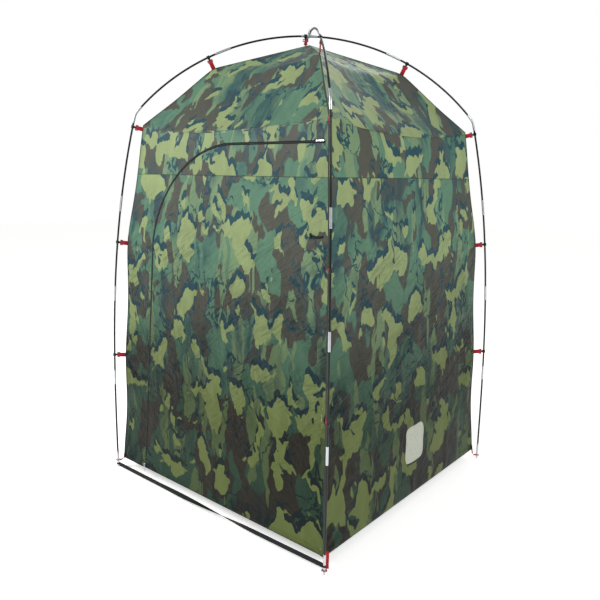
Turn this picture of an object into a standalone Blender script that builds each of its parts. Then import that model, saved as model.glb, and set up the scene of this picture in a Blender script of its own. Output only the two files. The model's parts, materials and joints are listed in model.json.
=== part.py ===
"""Privacy shower tent: a square hung canopy with a zipped door, carried by two crossed arch poles.

Each arch pole is twelve shock-corded tube sections. It stands on a diagonal of the plan. The canopy hangs
inside the poles from webbing tabs and hooks along its four corner bindings. Front is -Y and up is +Z.
"""

import math

import bmesh
import bpy
from mathutils import Matrix, Vector

MM = 0.001

# Driving dimensions, in metres
FOOT_SIDE = 1.20  # side of the square through the pole feet
POLE_TOP = 1.890  # centre of arch a at the crossing
CROSSING_RISE = 0.0105  # arch b passes over arch a
SHOULDER_Z = 1.566  # height of the bent elbow in each pole
SHOULDER_LEAN = 0.132  # how far a leg leans in by the elbow
ELBOW_BLEND = 0.030

ROD_R = 3.95 * MM
ROD_BORE_R = 2.1 * MM
FERRULE_R = 4.8 * MM
FERRULE_BORE_R = 4.4 * MM
FERRULE_HALF = 0.0325
ELBOW_HALF = 0.038
TIP_LENGTH = 0.076
TIP_PLUG_R = 3.4 * MM
TIP_PLUG_LENGTH = 4 * MM
KNOT_POCKET_R = 3.5 * MM
KNOT_POCKET = (0.010, 0.030)
END_GAP = 0.4 * MM
POLE_SIDES = 10
LEG_JOINTS = (0.431, 0.812, 1.201)  # pole joints on a leg, as lengths from the foot
ROOF_JOINT = 0.55  # share of the roof arc from the elbow to its joint
LEG_STEP = 0.13
ROOF_STEP = 0.075

CORD_R = 1.25 * MM
KNOT_R = 2.9 * MM
CORD_SIDES = 6

# Canopy outline in a diagonal plane: (distance from the axis, height) at hem, bend, shoulder, roof and peak
CANOPY = ((0.820, 0.045), (0.768, 1.050), (0.687, 1.520), (0.395, 1.752), (0.0, 1.855))
FABRIC = 1.2 * MM
SEAM_GAP = 0.5 * MM

BINDING_HALF = 4.5 * MM
BINDING_OFFSET = (0.6 * MM, 2.6 * MM)
CROSSING_CUT = 6.0 * MM

# Hooks along each pole: lengths from the foot on the leg, and the roof one by its distance from the axis
HOOK_LENGTHS = (0.535, 1.036, 1.522)
ROOF_HOOK_R = 0.415
APEX_HOOK_OFFSET = 0.016
HOOK_GAP = 0.6 * MM
HOOK_WALL = 2.2 * MM
HOOK_HALF = 6.0 * MM
HOOK_FRAME_HALF = 1.5 * MM
HOOK_BAR = (-22.0 * MM, -19.6 * MM)
HOOK_WINDOW_END = -14.0 * MM
HOOK_FRAME_END = -11.5 * MM
HOOK_WINDOW_HALF = 9.2 * MM
HOOK_FRAME_TOP = 11.4 * MM
TAB_HALF = 8.5 * MM
TAB_THICK = 1.8 * MM
TAB_LAYER = 1.1 * MM

RING_R = 9.5 * MM
RING_HOLE_R = 5.4 * MM
RING_THICK = 1.6 * MM
RING_Z = {"front_left": 0.034, "front_right": 0.016, "rear_right": 0.016, "rear_left": 0.016}

# Door zip: a straight run up, a quarter of an ellipse, and a level run to the hinge corner
ZIP_FOOT = (-0.422, 0.047)
ZIP_BEND = (-0.367, 1.030)
ZIP_TOP = (0.050, 1.435)
ZIP_END_X = 0.462
ZIP_ARC_STEPS = 14
COIL_ACROSS = (0.3 * MM, 3.6 * MM)
COIL_OUT = (-1.9 * MM, 0.7 * MM)
DOOR_EDGE = 4.2 * MM  # fabric edges stop this far from the zip line
HINGE_STRIP = 16.5 * MM
HINGE_GAP = 1.5 * MM
AXIS_OUT = 1.0 * MM

SLIDER_HALF = 7.0 * MM
SLIDER_ACROSS = (0.3 * MM, 5.3 * MM)
SLIDER_OUT = (1.1 * MM, 2.3 * MM)
SLIDER_FOOT_Z = 0.060
SLIDER_TOP_X = 0.452
CROWN_HALF = 1.0 * MM
CROWN_WINDOW = 1.9 * MM
CROWN_LEG = 1.2 * MM
BAR_OUT = 3.7 * MM  # height of the pull's pivot bar above the fabric
BAR_HALF = (0.8 * MM, 0.7 * MM)
BAR_ROOM = 1.35 * MM
CROWN_ROOF = 1.0 * MM
PULL_HALF = 2.5 * MM
PULL_ARM = 0.9 * MM
PULL_HOLE_END = 4.6 * MM
PULL_LENGTH = 28 * MM

STRAP_HALF = 9.4 * MM
STRAP_THICK = 1.5 * MM
STRAP_LOOP_R = (5.3 * MM, 6.9 * MM)
STRAP_Z = (0.016, 0.032)
STRAP_STEPS = 14
STRAP_TWIST = 0.34  # share of its length over which the strap turns half round

TIE_X = (0.458, 0.512)
TIE_Z = 1.135
TIE_HALF = 4 * MM
TIE_OUT = (0.6 * MM, 2.0 * MM)
TOGGLE_R = 3.2 * MM
TOGGLE_HALF = 9 * MM

CORNERS = {
    "front_left": Vector((-1, -1, 0)).normalized(),
    "front_right": Vector((1, -1, 0)).normalized(),
    "rear_right": Vector((1, 1, 0)).normalized(),
    "rear_left": Vector((-1, 1, 0)).normalized(),
}
ARCHES = {"a": ("front_left", "rear_right"), "b": ("front_right", "rear_left")}
UP = Vector((0, 0, 1))
ROOT2 = math.sqrt(2)


# ---------------------------------------------------------------- materials and objects


def material(name, colour, roughness, metallic=0.0):
    made = bpy.data.materials.new(name)
    made.use_nodes = True
    shader = made.node_tree.nodes["Principled BSDF"]
    shader.inputs["Base Color"].default_value = (*colour, 1)
    shader.inputs["Roughness"].default_value = roughness
    shader.inputs["Metallic"].default_value = metallic
    return made


def finishes():
    return {
        "pole": material("black_fibreglass", (0.02, 0.02, 0.025), 0.25),
        "cord": material("white_shock_cord", (0.75, 0.75, 0.72), 0.8),
        "hook": material("black_nylon", (0.02, 0.02, 0.02), 0.45),
        "binding": material("red_webbing", (0.55, 0.03, 0.06), 0.8),
        "canopy": material("camouflage_polyester", (0.14, 0.18, 0.10), 0.6),
        "strap": material("black_webbing", (0.02, 0.03, 0.03), 0.85),
        "coil": material("black_coil", (0.02, 0.02, 0.02), 0.5),
        "metal": material("bright_zinc", (0.75, 0.75, 0.75), 0.25, 1.0),
    }


def new_mesh(name, points, faces):
    """A mesh from points and faces, with its normals turned outwards."""
    mesh = bpy.data.meshes.new(name)
    mesh.from_pydata([tuple(p) for p in points], [], faces)
    shape = bmesh.new()
    shape.from_mesh(mesh)
    bmesh.ops.recalc_face_normals(shape, faces=shape.faces)
    shape.to_mesh(mesh)
    shape.free()
    return mesh


def place(name, mesh, finish, matrix=None, parent=None, smooth=False):
    """Puts a mesh in the scene as one sub-part."""
    if not mesh.materials:
        mesh.materials.append(finish)
    if smooth:
        mesh.shade_smooth()
        mesh.set_sharp_from_angle(angle=math.radians(40))
    made = bpy.data.objects.new(name, mesh)
    bpy.context.scene.collection.objects.link(made)
    if parent is not None:
        made.parent = parent
        made.matrix_parent_inverse = parent.matrix_basis.inverted()
    if matrix is not None:
        made.matrix_basis = matrix
    return made


def prism(name, outline, low, high, hole=None):
    """An outline in the XY plane, pulled from low to high along Z, with an optional hole through it."""
    count = len(outline)
    points = [Vector((x, y, z)) for z in (low, high) for x, y in outline]
    sides = [[i, (i + 1) % count, count + (i + 1) % count, count + i] for i in range(count)]
    mesh = new_mesh(name, points, [list(range(count)), list(range(count, 2 * count)), *sides])
    if hole is None:
        return mesh
    reach = high - low
    return combined(mesh, [(prism(name + "_hole", hole, low - reach, high + reach), "DIFFERENCE")])


def combined(mesh, steps):
    """The mesh after Boolean steps, each a (mesh, operation) pair. The other meshes are used up."""
    base = bpy.data.objects.new("combining", mesh)
    bpy.context.scene.collection.objects.link(base)
    helpers = []
    for other, operation in steps:
        helper = bpy.data.objects.new("helper", other)
        helper.hide_render = True
        helper.display_type = "WIRE"
        bpy.context.scene.collection.objects.link(helper)
        modifier = base.modifiers.new(operation, "BOOLEAN")
        modifier.operation = operation
        modifier.solver = "EXACT"
        modifier.object = helper
        helpers.append(helper)
    graph = bpy.context.evaluated_depsgraph_get()
    result = bpy.data.meshes.new_from_object(base.evaluated_get(graph))
    result.name = mesh.name
    for used in (base, *helpers):
        bpy.data.objects.remove(used)
    return result


def moved(mesh, matrix):
    mesh.transform(matrix)
    return mesh


def circle(radius, sides, start=0.0, end=2 * math.pi, closed=True):
    """Points on a circle or an arc, counter-clockwise."""
    steps = sides if closed else sides - 1
    turn = (end - start) / steps
    return [(radius * math.cos(start + i * turn), radius * math.sin(start + i * turn)) for i in range(sides)]


def axes_matrix(x, y, z, origin):
    turned = Matrix((x, y, z)).transposed().to_4x4()
    return Matrix.Translation(origin) @ turned


# ---------------------------------------------------------------- arch poles


class HalfArch:
    """Centre line of one half of an arch pole, by length from its foot, in (distance, height)."""

    def __init__(self, top):
        self.top = top
        foot = FOOT_SIDE / ROOT2
        self.elbow_r = foot - SHOULDER_LEAN
        drop = top - SHOULDER_Z
        self.roof_radius = (self.elbow_r**2 + drop**2) / (2 * drop)
        leg = [self.leg_point(SHOULDER_Z * i / 160) for i in range(161)]
        turn = math.asin(self.elbow_r / self.roof_radius)
        roof = [self.roof_point(turn * (1 - i / 100)) for i in range(101)]
        leg_length = self.length_of(leg)
        self.elbow = leg_length
        self.points = self.rounded(leg, roof)
        self.marks = [0.0]
        for first, second in zip(self.points, self.points[1:]):
            self.marks.append(self.marks[-1] + (second - first).length)
        self.length = self.marks[-1]
        self.roof_joint = self.elbow + ROOF_JOINT * (self.length - self.elbow)
        roof_hook = self.length - self.roof_radius * math.asin(ROOF_HOOK_R / self.roof_radius)
        self.hooks = [*HOOK_LENGTHS, roof_hook]

    def leg_point(self, z):
        return Vector((FOOT_SIDE / ROOT2 - SHOULDER_LEAN * (z / SHOULDER_Z) ** 3, z))

    def roof_point(self, angle):
        r = self.roof_radius * math.sin(angle)
        return Vector((r, self.top - self.roof_radius * (1 - math.cos(angle))))

    @staticmethod
    def length_of(points):
        return sum((b - a).length for a, b in zip(points, points[1:]))

    def rounded(self, leg, roof):
        """The leg, a short curve round the elbow and the roof arc, as one line."""
        corner = leg[-1]
        before = [p for p in leg if (p - corner).length >= ELBOW_BLEND]
        after = [p for p in roof if (p - corner).length >= ELBOW_BLEND]
        first, last = before[-1], after[0]
        bend = []
        for i in range(1, 12):
            t = i / 12
            bend.append(first * (1 - t) ** 2 + corner * (2 * t * (1 - t)) + last * t**2)
        return before + bend + after

    def point(self, s):
        s = min(max(s, 0.0), self.length)
        for i, mark in enumerate(self.marks[1:]):
            if s <= mark:
                share = (s - self.marks[i]) / (mark - self.marks[i])
                return self.points[i].lerp(self.points[i + 1], share)
        return self.points[-1].copy()

    def direction(self, s):
        step = 0.004
        low, high = max(s - step, 0.0), min(s + step, self.length)
        if self.length - s < step:
            return Vector((-1.0, 0.0))
        return (self.point(high) - self.point(low)).normalized()

    def stations(self, low, high):
        """Lengths where the line bends enough to need a ring, between low and high."""
        count = round(self.elbow / LEG_STEP)
        leg = [self.elbow * i / count for i in range(1, count)]
        bend = [self.elbow + ELBOW_BLEND * share for share in (-1, -0.5, 0, 0.5, 1)]
        roof = self.length - self.elbow
        count = round(roof / ROOF_STEP)
        arc = [self.elbow + roof * i / count for i in range(1, count)]
        return [s for s in sorted(leg + bend + arc + self.hooks) if low + 0.004 < s < high - 0.004]


def at_corner(corner, flat):
    """A (distance, height) point of a diagonal plane, in the tent's frame."""
    return corner * flat[0] + UP * flat[1]


def ring(centre, out, across, radius, sides):
    return [centre + out * x + across * y for x, y in circle(radius, sides)]


def ring_surface(name, rings, closed):
    """A surface through rings of equal size: closed on itself, or capped at both ends."""
    sides = len(rings[0])
    points = [p for one in rings for p in one]
    faces = []
    last = len(rings) if closed else len(rings) - 1
    for row in range(last):
        here, there = row * sides, (row + 1) % len(rings) * sides
        for i in range(sides):
            after = (i + 1) % sides
            faces.append([here + i, here + after, there + after, there + i])
    if not closed:
        faces.append(list(range(sides)))
        faces.append([(len(rings) - 1) * sides + i for i in range(sides)])
    return new_mesh(name, points, faces)


def over_top(half, other_corner, corner, s):
    """A length past the top of the arch belongs to the other half, measured from its own foot."""
    if s <= half.length:
        return corner, s, False
    return other_corner, 2 * half.length - s, True


def arch_ring(half, corners, s, radius, sides):
    """A ring at any length along a whole arch, from the first corner's foot to the second's."""
    corner, own, second = over_top(half, corners[1], corners[0], s)
    way = half.direction(own)
    out = at_corner(corner, (way[1], -way[0]))
    across = at_corner(corners[0], (1, 0)).cross(UP)
    return ring(at_corner(corner, half.point(own)), out, across, radius, sides)


def foot_section(half, joint):
    """(length, radius) steps round a foot section: outside up from the plug, then down the bore."""
    outside = [
        (0.0, TIP_PLUG_R),
        (TIP_PLUG_LENGTH, TIP_PLUG_R),
        (TIP_PLUG_LENGTH, FERRULE_R),
        (TIP_LENGTH, FERRULE_R),
        (TIP_LENGTH, ROD_R),
    ]
    outside += [(s, ROD_R) for s in half.stations(TIP_LENGTH, joint - FERRULE_HALF)]
    top, bore = socket(half, joint, FERRULE_HALF, KNOT_POCKET[1])
    pocket = [(KNOT_POCKET[1], ROD_BORE_R), (KNOT_POCKET[1], KNOT_POCKET_R), (KNOT_POCKET[0], KNOT_POCKET_R)]
    return outside + top + bore + pocket


def socket(half, joint, reach, low):
    """Steps round a ferrule glued on a section's upper end, and back down the bore as far as low."""
    bends = half.stations(joint - reach, joint + reach) if reach == ELBOW_HALF else [joint]
    outside = [(joint - reach, ROD_R), (joint - reach, FERRULE_R)]
    outside += [(s, FERRULE_R) for s in bends]
    outside += [(joint + reach, FERRULE_R), (joint + reach, FERRULE_BORE_R)]
    inside = [(s, FERRULE_BORE_R) for s in reversed(bends) if s > joint + END_GAP]
    inside += [(joint - END_GAP, FERRULE_BORE_R), (joint - END_GAP, ROD_BORE_R)]
    inside += [(s, ROD_BORE_R) for s in reversed(half.stations(low, joint - 0.002))]
    return outside, inside


def rod_start(half, low):
    """Steps at a rod's lower end, which sits in the ferrule of the section below."""
    start = low + END_GAP
    reach = ELBOW_HALF if low == half.elbow else FERRULE_HALF
    bends = half.stations(start, low + reach)
    return [(start, ROD_BORE_R), (start, ROD_R), *[(s, ROD_R) for s in bends], (low + reach, ROD_R)]


def middle_section(half, low, joint, reach):
    outside = rod_start(half, low)
    start = outside[0][0]
    outside += [(s, ROD_R) for s in half.stations(outside[-1][0], joint - reach)]
    top, bore = socket(half, joint, reach, start)
    return outside + top + bore


def plain_section(half, low, high):
    """A section with no ferrule of its own: both its ends slide into its neighbours' ferrules."""
    outside = rod_start(half, low)
    start, end = outside[0][0], high - END_GAP
    tip = high - FERRULE_HALF
    outside += [(s, ROD_R) for s in half.stations(outside[-1][0], tip)]
    outside += [(tip, ROD_R), (end, ROD_R), (end, ROD_BORE_R)]
    return outside + [(s, ROD_BORE_R) for s in reversed(half.stations(start, end))]


def make_pole(letter, finish):
    half = HalfArch(POLE_TOP + (CROSSING_RISE if letter == "b" else 0.0))
    corners = [CORNERS[name] for name in ARCHES[letter]]
    joints = [*LEG_JOINTS, half.elbow, half.roof_joint, half.length]
    for side, corner in enumerate(corners):
        pair = [corner, corners[1 - side]]
        for index, joint in enumerate(joints):
            number = index + 1 if side == 0 else 2 * len(joints) - index
            low = joints[index - 1] if index else 0.0
            reach = ELBOW_HALF if index == 3 else FERRULE_HALF
            if index == 0:
                steps = foot_section(half, joint)
            elif index == len(joints) - 1 and side == 1:
                steps = plain_section(half, low, joint)
            else:
                steps = middle_section(half, low, joint, reach)
            rings = [arch_ring(half, pair, s, radius, POLE_SIDES) for s, radius in steps]
            name = f"pole_{letter}_section_{number:02d}"
            place(name, ring_surface(name, rings, closed=index > 0), finish["pole"], smooth=True)
    make_shock_cord(letter, half, corners, finish["cord"])
    return half


def make_shock_cord(letter, half, corners, finish):
    """The elastic that runs through all twelve sections, with a knot held in each tip."""
    low, high = KNOT_POCKET
    knot = [
        (low + 0.003, CORD_R),
        (low + 0.0045, KNOT_R * 0.85),
        (low + 0.010, KNOT_R),
        (high - 0.0045, KNOT_R * 0.85),
        (high - 0.003, CORD_R),
    ]
    first = knot + [(s, CORD_R) for s in half.stations(high, half.length)]
    second = [(2 * half.length - s, radius) for s, radius in reversed(first)]
    steps = first + [(half.length, CORD_R)] + second
    rings = [arch_ring(half, corners, s, radius, CORD_SIDES) for s, radius in steps]
    name = f"shock_cord_{letter}"
    place(name, ring_surface(name, rings, closed=False), finish, smooth=True)


# ---------------------------------------------------------------- canopy surface


def canopy_radius(z):
    """The canopy corner's distance from the axis at a height."""
    for (r0, z0), (r1, z1) in zip(CANOPY, CANOPY[1:]):
        if z <= z1:
            return r0 + (r1 - r0) * (z - z0) / (z1 - z0)
    return 0.0


def wall_distance(z):
    return canopy_radius(z) / ROOT2


def wall_normal(z):
    """Outward normal of a wall at a height, as (out, up), lengthened at a bend to keep the thickness."""
    normals = []
    for (r0, z0), (r1, z1) in zip(CANOPY, CANOPY[1:]):
        if z0 - 1e-6 <= z <= z1 + 1e-6:
            along = Vector(((r1 - r0) / ROOT2, z1 - z0)).normalized()
            normals.append(Vector((along[1], -along[0])))
    if len(normals) == 1:
        return normals[0]
    middle = (normals[0] + normals[1]).normalized()
    return middle / middle.dot(normals[0])


def front_point(x, z, out=0.0, normal=None):
    """A point of the front wall's outer surface, moved out along its normal."""
    way = wall_normal(z) if normal is None else normal
    return Vector((x, -(wall_distance(z) + way[0] * out), z + way[1] * out))


def sheet(name, points, faces, corner_points=()):
    """A fabric solid from (x, z) points of the front wall. Corner points are mitred to meet the next wall."""
    top_normal = wall_normal(CANOPY[2][1] - 0.01)
    outer, inner = [], []
    for index, (x, z) in enumerate(points):
        normal = top_normal if z > CANOPY[2][1] - 0.005 else wall_normal(z)
        outside = front_point(x, z, 0.0, normal)
        inside = front_point(x, z, -FABRIC, normal)
        if index in corner_points:
            edge = SEAM_GAP / 2
            outside.x = math.copysign(-outside.y - edge, x)
            inside.x = math.copysign(-inside.y - edge, x)
        outer.append(outside)
        inner.append(inside)
    count = len(points)
    sides = {}
    for face in faces:
        for a, b in zip(face, face[1:] + face[:1]):
            sides[(a, b)] = None
    rim = [[b, a, a + count, b + count] for a, b in sides if (b, a) not in sides]
    back = [[i + count for i in reversed(face)] for face in faces]
    return new_mesh(name, outer + inner, [*faces, *back, *rim])


def wall_rows():
    top = CANOPY[2][1] - SEAM_GAP
    return [CANOPY[0][1], CANOPY[1][1], top]


def make_plain_wall(name, turn, finish):
    """A wall with no opening, as the front wall's surface turned about the axis."""
    rows = wall_rows()
    points = [(side * wall_distance(z), z) for z in rows for side in (-1, 1)]
    faces = [[2 * i, 2 * i + 1, 2 * i + 3, 2 * i + 2] for i in range(len(rows) - 1)]
    mesh = sheet(name, points, faces, corner_points=range(len(points)))
    place(name, mesh, finish, Matrix.Rotation(math.radians(turn), 4, "Z"))


def make_roof(finish):
    """Four gores sewn together: a shell that opens downwards."""
    start = CANOPY[2][1] + 1.5 * SEAM_GAP
    outer_rows = [(wall_distance(start), start), (wall_distance(CANOPY[3][1]), CANOPY[3][1])]
    inner_rows = []
    for (distance, z), normal in zip(outer_rows, (wall_normal(start), wall_normal(CANOPY[3][1]))):
        inner_rows.append((distance - normal[0] * FABRIC, z - normal[1] * FABRIC))
    signs = [(-1, -1), (1, -1), (1, 1), (-1, 1)]
    points = []
    for rows, peak in ((outer_rows, CANOPY[4][1]), (inner_rows, CANOPY[4][1] - FABRIC * 1.1)):
        points += [Vector((sx * d, sy * d, z)) for d, z in rows for sx, sy in signs]
        points.append(Vector((0, 0, peak)))
    faces = []
    for start_index in (0, 9):
        for i in range(4):
            after = (i + 1) % 4
            low, high, peak = start_index, start_index + 4, start_index + 8
            faces.append([low + i, low + after, high + after, high + i])
            faces.append([high + i, high + after, peak])
    faces += [[i, (i + 1) % 4, 9 + (i + 1) % 4, 9 + i] for i in range(4)]
    place("roof", new_mesh("roof", points, faces), finish)


# ---------------------------------------------------------------- door and zip


def zip_stations():
    """(point, way across towards the door) along the zip, from the hem to the hinge corner."""
    foot, bend, top = Vector(ZIP_FOOT), Vector(ZIP_BEND), Vector(ZIP_TOP)
    rise = (bend - foot).normalized()
    across = Vector((rise[1], -rise[0]))
    stations = [(foot, across), (bend, across)]
    wide, tall = top[0] - bend[0], top[1] - bend[1]
    for i in range(1, ZIP_ARC_STEPS + 1):
        angle = math.pi / 2 * i / ZIP_ARC_STEPS
        point = Vector((top[0] - wide * math.cos(angle), bend[1] + tall * math.sin(angle)))
        inward = Vector((math.cos(angle) / wide, -math.sin(angle) / tall)).normalized()
        stations.append((point, inward))
    stations.append((Vector((ZIP_END_X, top[1])), Vector((0, -1))))
    return stations


def hinge_x(z):
    return wall_distance(z) - HINGE_STRIP - HINGE_GAP


def make_door(finish, parent):
    edge = [point + across * DOOR_EDGE for point, across in zip_stations()[:-1]]
    points = []
    for x, z in edge:
        points += [(x, z), (hinge_x(z), z)]
    faces = [[2 * i, 2 * i + 1, 2 * i + 3, 2 * i + 2] for i in range(len(edge) - 1)]
    place("door_panel", sheet("door_panel", points, faces), finish, parent=parent)


def make_front_wall(finish):
    """The wall round the doorway: a jamb beside the zip, a header over it and a strip at the hinge corner."""
    edge = [point - across * DOOR_EDGE for point, across in zip_stations()[:-1]]
    edge[0] = Vector((edge[0][0], CANOPY[0][1]))
    points, corner_points = [], []
    for x, z in edge:
        corner_points.append(len(points))
        points += [(-wall_distance(z), z), (x, z)]
    faces = [[2 * i, 2 * i + 1, 2 * i + 3, 2 * i + 2] for i in range(len(edge) - 1)]
    base = len(points)
    header_z = edge[-1][1]
    strip_rows = [CANOPY[0][1], CANOPY[1][1], header_z]
    for z in strip_rows:
        corner_points.append(len(points) + 1)
        points += [(wall_distance(z) - HINGE_STRIP, z), (wall_distance(z), z)]
    faces += [[base + 2 * i, base + 2 * i + 1, base + 2 * i + 3, base + 2 * i + 2] for i in range(2)]
    top = CANOPY[2][1] - SEAM_GAP
    corner_points += [len(points), len(points) + 1]
    points += [(wall_distance(top), top), (-wall_distance(top), top)]
    last = base - 2
    header = [last, last + 1, base + 4, base + 5, len(points) - 2, len(points) - 1]
    faces.append(header)
    place("front_wall", sheet("front_wall", points, faces, corner_points), finish)


def make_zip_half(name, sign, finish, parent=None):
    """Half of the coil: sign 1 is sewn to the door, and -1 to the front wall."""
    rings = []
    for point, across in zip_stations():
        near = point + across * (sign * COIL_ACROSS[0])
        far = point + across * (sign * COIL_ACROSS[1])
        low, high = COIL_OUT
        normal = wall_normal(point[1])
        rings.append([
            front_point(*near, low, normal),
            front_point(*far, low, normal),
            front_point(*far, high, normal),
            front_point(*near, high, normal),
        ])
    place(name, ring_surface(name, rings, closed=False), finish, parent=parent)


def wall_axes(x, z, way):
    """Axes at a point of the front wall: X along way, Z out of the wall."""
    normal = wall_normal(z)
    out = Vector((0, -normal[0], normal[1])).normalized()
    along = (way - out * way.dot(out)).normalized()
    return axes_matrix(along, out.cross(along), out, front_point(x, z))


def slider_places():
    """Name, axes at rest and which side of the zip line its wall lies on, for both sliders."""
    rise = Vector(ZIP_BEND) - Vector(ZIP_FOOT)
    x = ZIP_FOOT[0] + rise[0] * (SLIDER_FOOT_Z - ZIP_FOOT[1]) / rise[1]
    start, end = front_point(*ZIP_FOOT), front_point(*ZIP_BEND)
    lower = wall_axes(x, SLIDER_FOOT_Z, end - start)
    upper = wall_axes(SLIDER_TOP_X, ZIP_TOP[1], Vector((-1, 0, 0)))
    return (("bottom", lower, 1), ("top", upper, -1))


def box(name, x, y, z):
    corners = [(x[0], y[0]), (x[1], y[0]), (x[1], y[1]), (x[0], y[1])]
    return prism(name, corners, z[0], z[1])


def side_prism(name, outline, low, high, hole):
    """A prism whose outline is in (along, out), pulled across."""
    stood = Matrix(((1, 0, 0, 0), (0, 0, -1, 0), (0, 1, 0, 0), (0, 0, 0, 1)))
    return moved(prism(name, outline, -high, -low, hole), stood)


def rectangle(x, y):
    return [(x[0], y[0]), (x[1], y[0]), (x[1], y[1]), (x[0], y[1])]


def slider_mesh(name, wall_sign):
    low, high = sorted(wall_sign * value for value in SLIDER_ACROSS)
    plate = box(name, (-SLIDER_HALF, SLIDER_HALF), (low, high), SLIDER_OUT)
    middle = (low + high) / 2
    reach = CROWN_WINDOW + CROWN_LEG
    top = BAR_OUT + BAR_ROOM + CROWN_ROOF
    outline = [
        (-reach, SLIDER_OUT[1] - 0.5 * MM),
        (reach, SLIDER_OUT[1] - 0.5 * MM),
        (reach, top - 0.8 * MM),
        (reach - 0.8 * MM, top),
        (-reach + 0.8 * MM, top),
        (-reach, top - 0.8 * MM),
    ]
    window = rectangle((-CROWN_WINDOW, CROWN_WINDOW), (SLIDER_OUT[1] + 0.02 * MM, BAR_OUT + BAR_ROOM))
    crown = side_prism(name + "_crown", outline, middle - CROWN_HALF, middle + CROWN_HALF, window)
    return combined(plate, [(crown, "UNION")])


def pull_mesh(name):
    """A pull tab about its pivot bar: it points along -X, with its hole round the slider's crown."""
    tip = [(-PULL_LENGTH + 2 * MM, -PULL_HALF), (-PULL_LENGTH, -1.2 * MM), (-PULL_LENGTH, 1.2 * MM)]
    tip.append((-PULL_LENGTH + 2 * MM, PULL_HALF))
    outline = [(BAR_HALF[0], PULL_HALF), *reversed(tip), (BAR_HALF[0], -PULL_HALF)]
    inside = PULL_HALF - PULL_ARM
    hole = rectangle((-PULL_HOLE_END, -BAR_HALF[0]), (-inside, inside))
    return prism(name, outline[::-1], -BAR_HALF[1], BAR_HALF[1], hole)


def make_sliders(finish):
    for which, axes, wall_sign in slider_places():
        name = f"zip_slider_{which}"
        slider = place(name, slider_mesh(name, wall_sign), finish, axes)
        middle = wall_sign * sum(SLIDER_ACROSS) / 2
        name = f"zip_pull_{which}"
        pull = place(name, pull_mesh(name), finish, axes @ Matrix.Translation((0, middle, BAR_OUT)))
        pull.parent = slider
        pull.matrix_parent_inverse = slider.matrix_basis.inverted()


def make_tie(finish, parent):
    """A webbing tie with a barrel toggle, sewn on the door beside its hinge, for the rolled-up door."""
    axes = wall_axes(TIE_X[0], TIE_Z, Vector((1, 0, 0)))
    length = TIE_X[1] - TIE_X[0]
    strip = box("door_tie", (0, length), (-TIE_HALF, TIE_HALF), TIE_OUT)
    barrel = prism("toggle", circle(TOGGLE_R, 12), -TOGGLE_HALF, TOGGLE_HALF)
    upright = Matrix.Rotation(math.radians(90), 4, "X")
    place_at = Matrix.Translation((0, 0, TOGGLE_R + TIE_OUT[0])) @ upright
    mesh = combined(strip, [(moved(barrel, place_at), "UNION")])
    place("door_tie", moved(mesh, axes), finish, parent=parent)


def door_axis():
    """A point on the door's hinge line at the hem, and the line's direction."""
    (r0, z0), (r1, z1) = CANOPY[0], CANOPY[1]
    lean = (r1 - r0) / ROOT2 / (z1 - z0)
    point = front_point(hinge_x(z0) + HINGE_GAP / 2, z0, AXIS_OUT)
    return point, Vector((lean, -lean, 1)).normalized()


# ---------------------------------------------------------------- corner bindings and hooks


def outline_normals(path):
    """Outward normals along a (distance, height) line, lengthened at its bends."""
    ways = [(b - a).normalized() for a, b in zip(path, path[1:])]
    normals = [Vector((w[1], -w[0])) for w in ways]
    result = [normals[0]]
    for before, after in zip(normals, normals[1:]):
        middle = (before + after).normalized()
        result.append(middle / middle.dot(before))
    result.append(normals[-1])
    return result


def ribbon(name, corners, path):
    """A flat strip along a canopy corner. Negative distances belong to the first corner of the pair."""
    along = corners[1]
    across = along.cross(UP)
    rings = []
    for point, normal in zip(path, outline_normals(path)):
        one = []
        for out, side in ((0, -1), (0, 1), (1, 1), (1, -1)):
            flat = point - normal * BINDING_OFFSET[out]
            one.append(along * flat[0] + UP * flat[1] + across * (side * BINDING_HALF))
        rings.append(one)
    return ring_surface(name, rings, closed=False)


def pole_axes(half, corner, s):
    """Axes on a pole: X away from the tent, and Z up the pole."""
    way = half.direction(s)
    out = at_corner(corner, (way[1], -way[0]))
    along = at_corner(corner, way)
    return axes_matrix(out, along.cross(out), along, at_corner(corner, half.point(s)))


def room_to_canopy(axes, along):
    """How far the canopy's corner line is, straight in from a point along a pole."""
    origin, inward = axes @ Vector((0, 0, along)), -axes.col[0].to_3d()
    low, high = 0.0, 0.15
    for _ in range(40):
        middle = (low + high) / 2
        point = origin + inward * middle
        outside = point.xy.length > canopy_radius(point.z)
        low, high = (middle, high) if outside else (low, middle)
    return low


def tab_mesh(axes):
    """A webbing tab from the binding to a folded eye round the bar of the hook with these axes."""
    rooms = {side: room_to_canopy(axes, side * TAB_HALF) for side in (-1, 1)}
    bulge = max(sum(rooms.values()) / 2 - room_to_canopy(axes, 0), 0)
    bar_low, bar_high = HOOK_BAR
    hole_x = (bar_low - HOOK_GAP, bar_high + HOOK_GAP)
    hole_y = HOOK_FRAME_HALF + HOOK_GAP
    outer = hole_y + TAB_LAYER
    neck = TAB_THICK / 2
    root = -min(rooms.values())
    shape = [
        (root, -neck),
        (hole_x[0] - TAB_LAYER - 2 * MM, -neck),
        (hole_x[0] - TAB_LAYER, -outer),
        (hole_x[1] + TAB_LAYER, -outer),
        (hole_x[1] + TAB_LAYER, outer),
        (hole_x[0] - TAB_LAYER, outer),
        (hole_x[0] - TAB_LAYER - 2 * MM, neck),
        (root, neck),
    ]
    hole = rectangle(hole_x, (-hole_y, hole_y))
    mesh = prism("tab", shape, -TAB_HALF, TAB_HALF, hole)
    for vertex in mesh.vertices:
        if vertex.co.x < root + 0.1 * MM:
            vertex.co.x = -rooms[math.copysign(1, vertex.co.z)] + bulge + BINDING_OFFSET[0] + 0.6 * MM
    return moved(mesh, axes)


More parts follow.
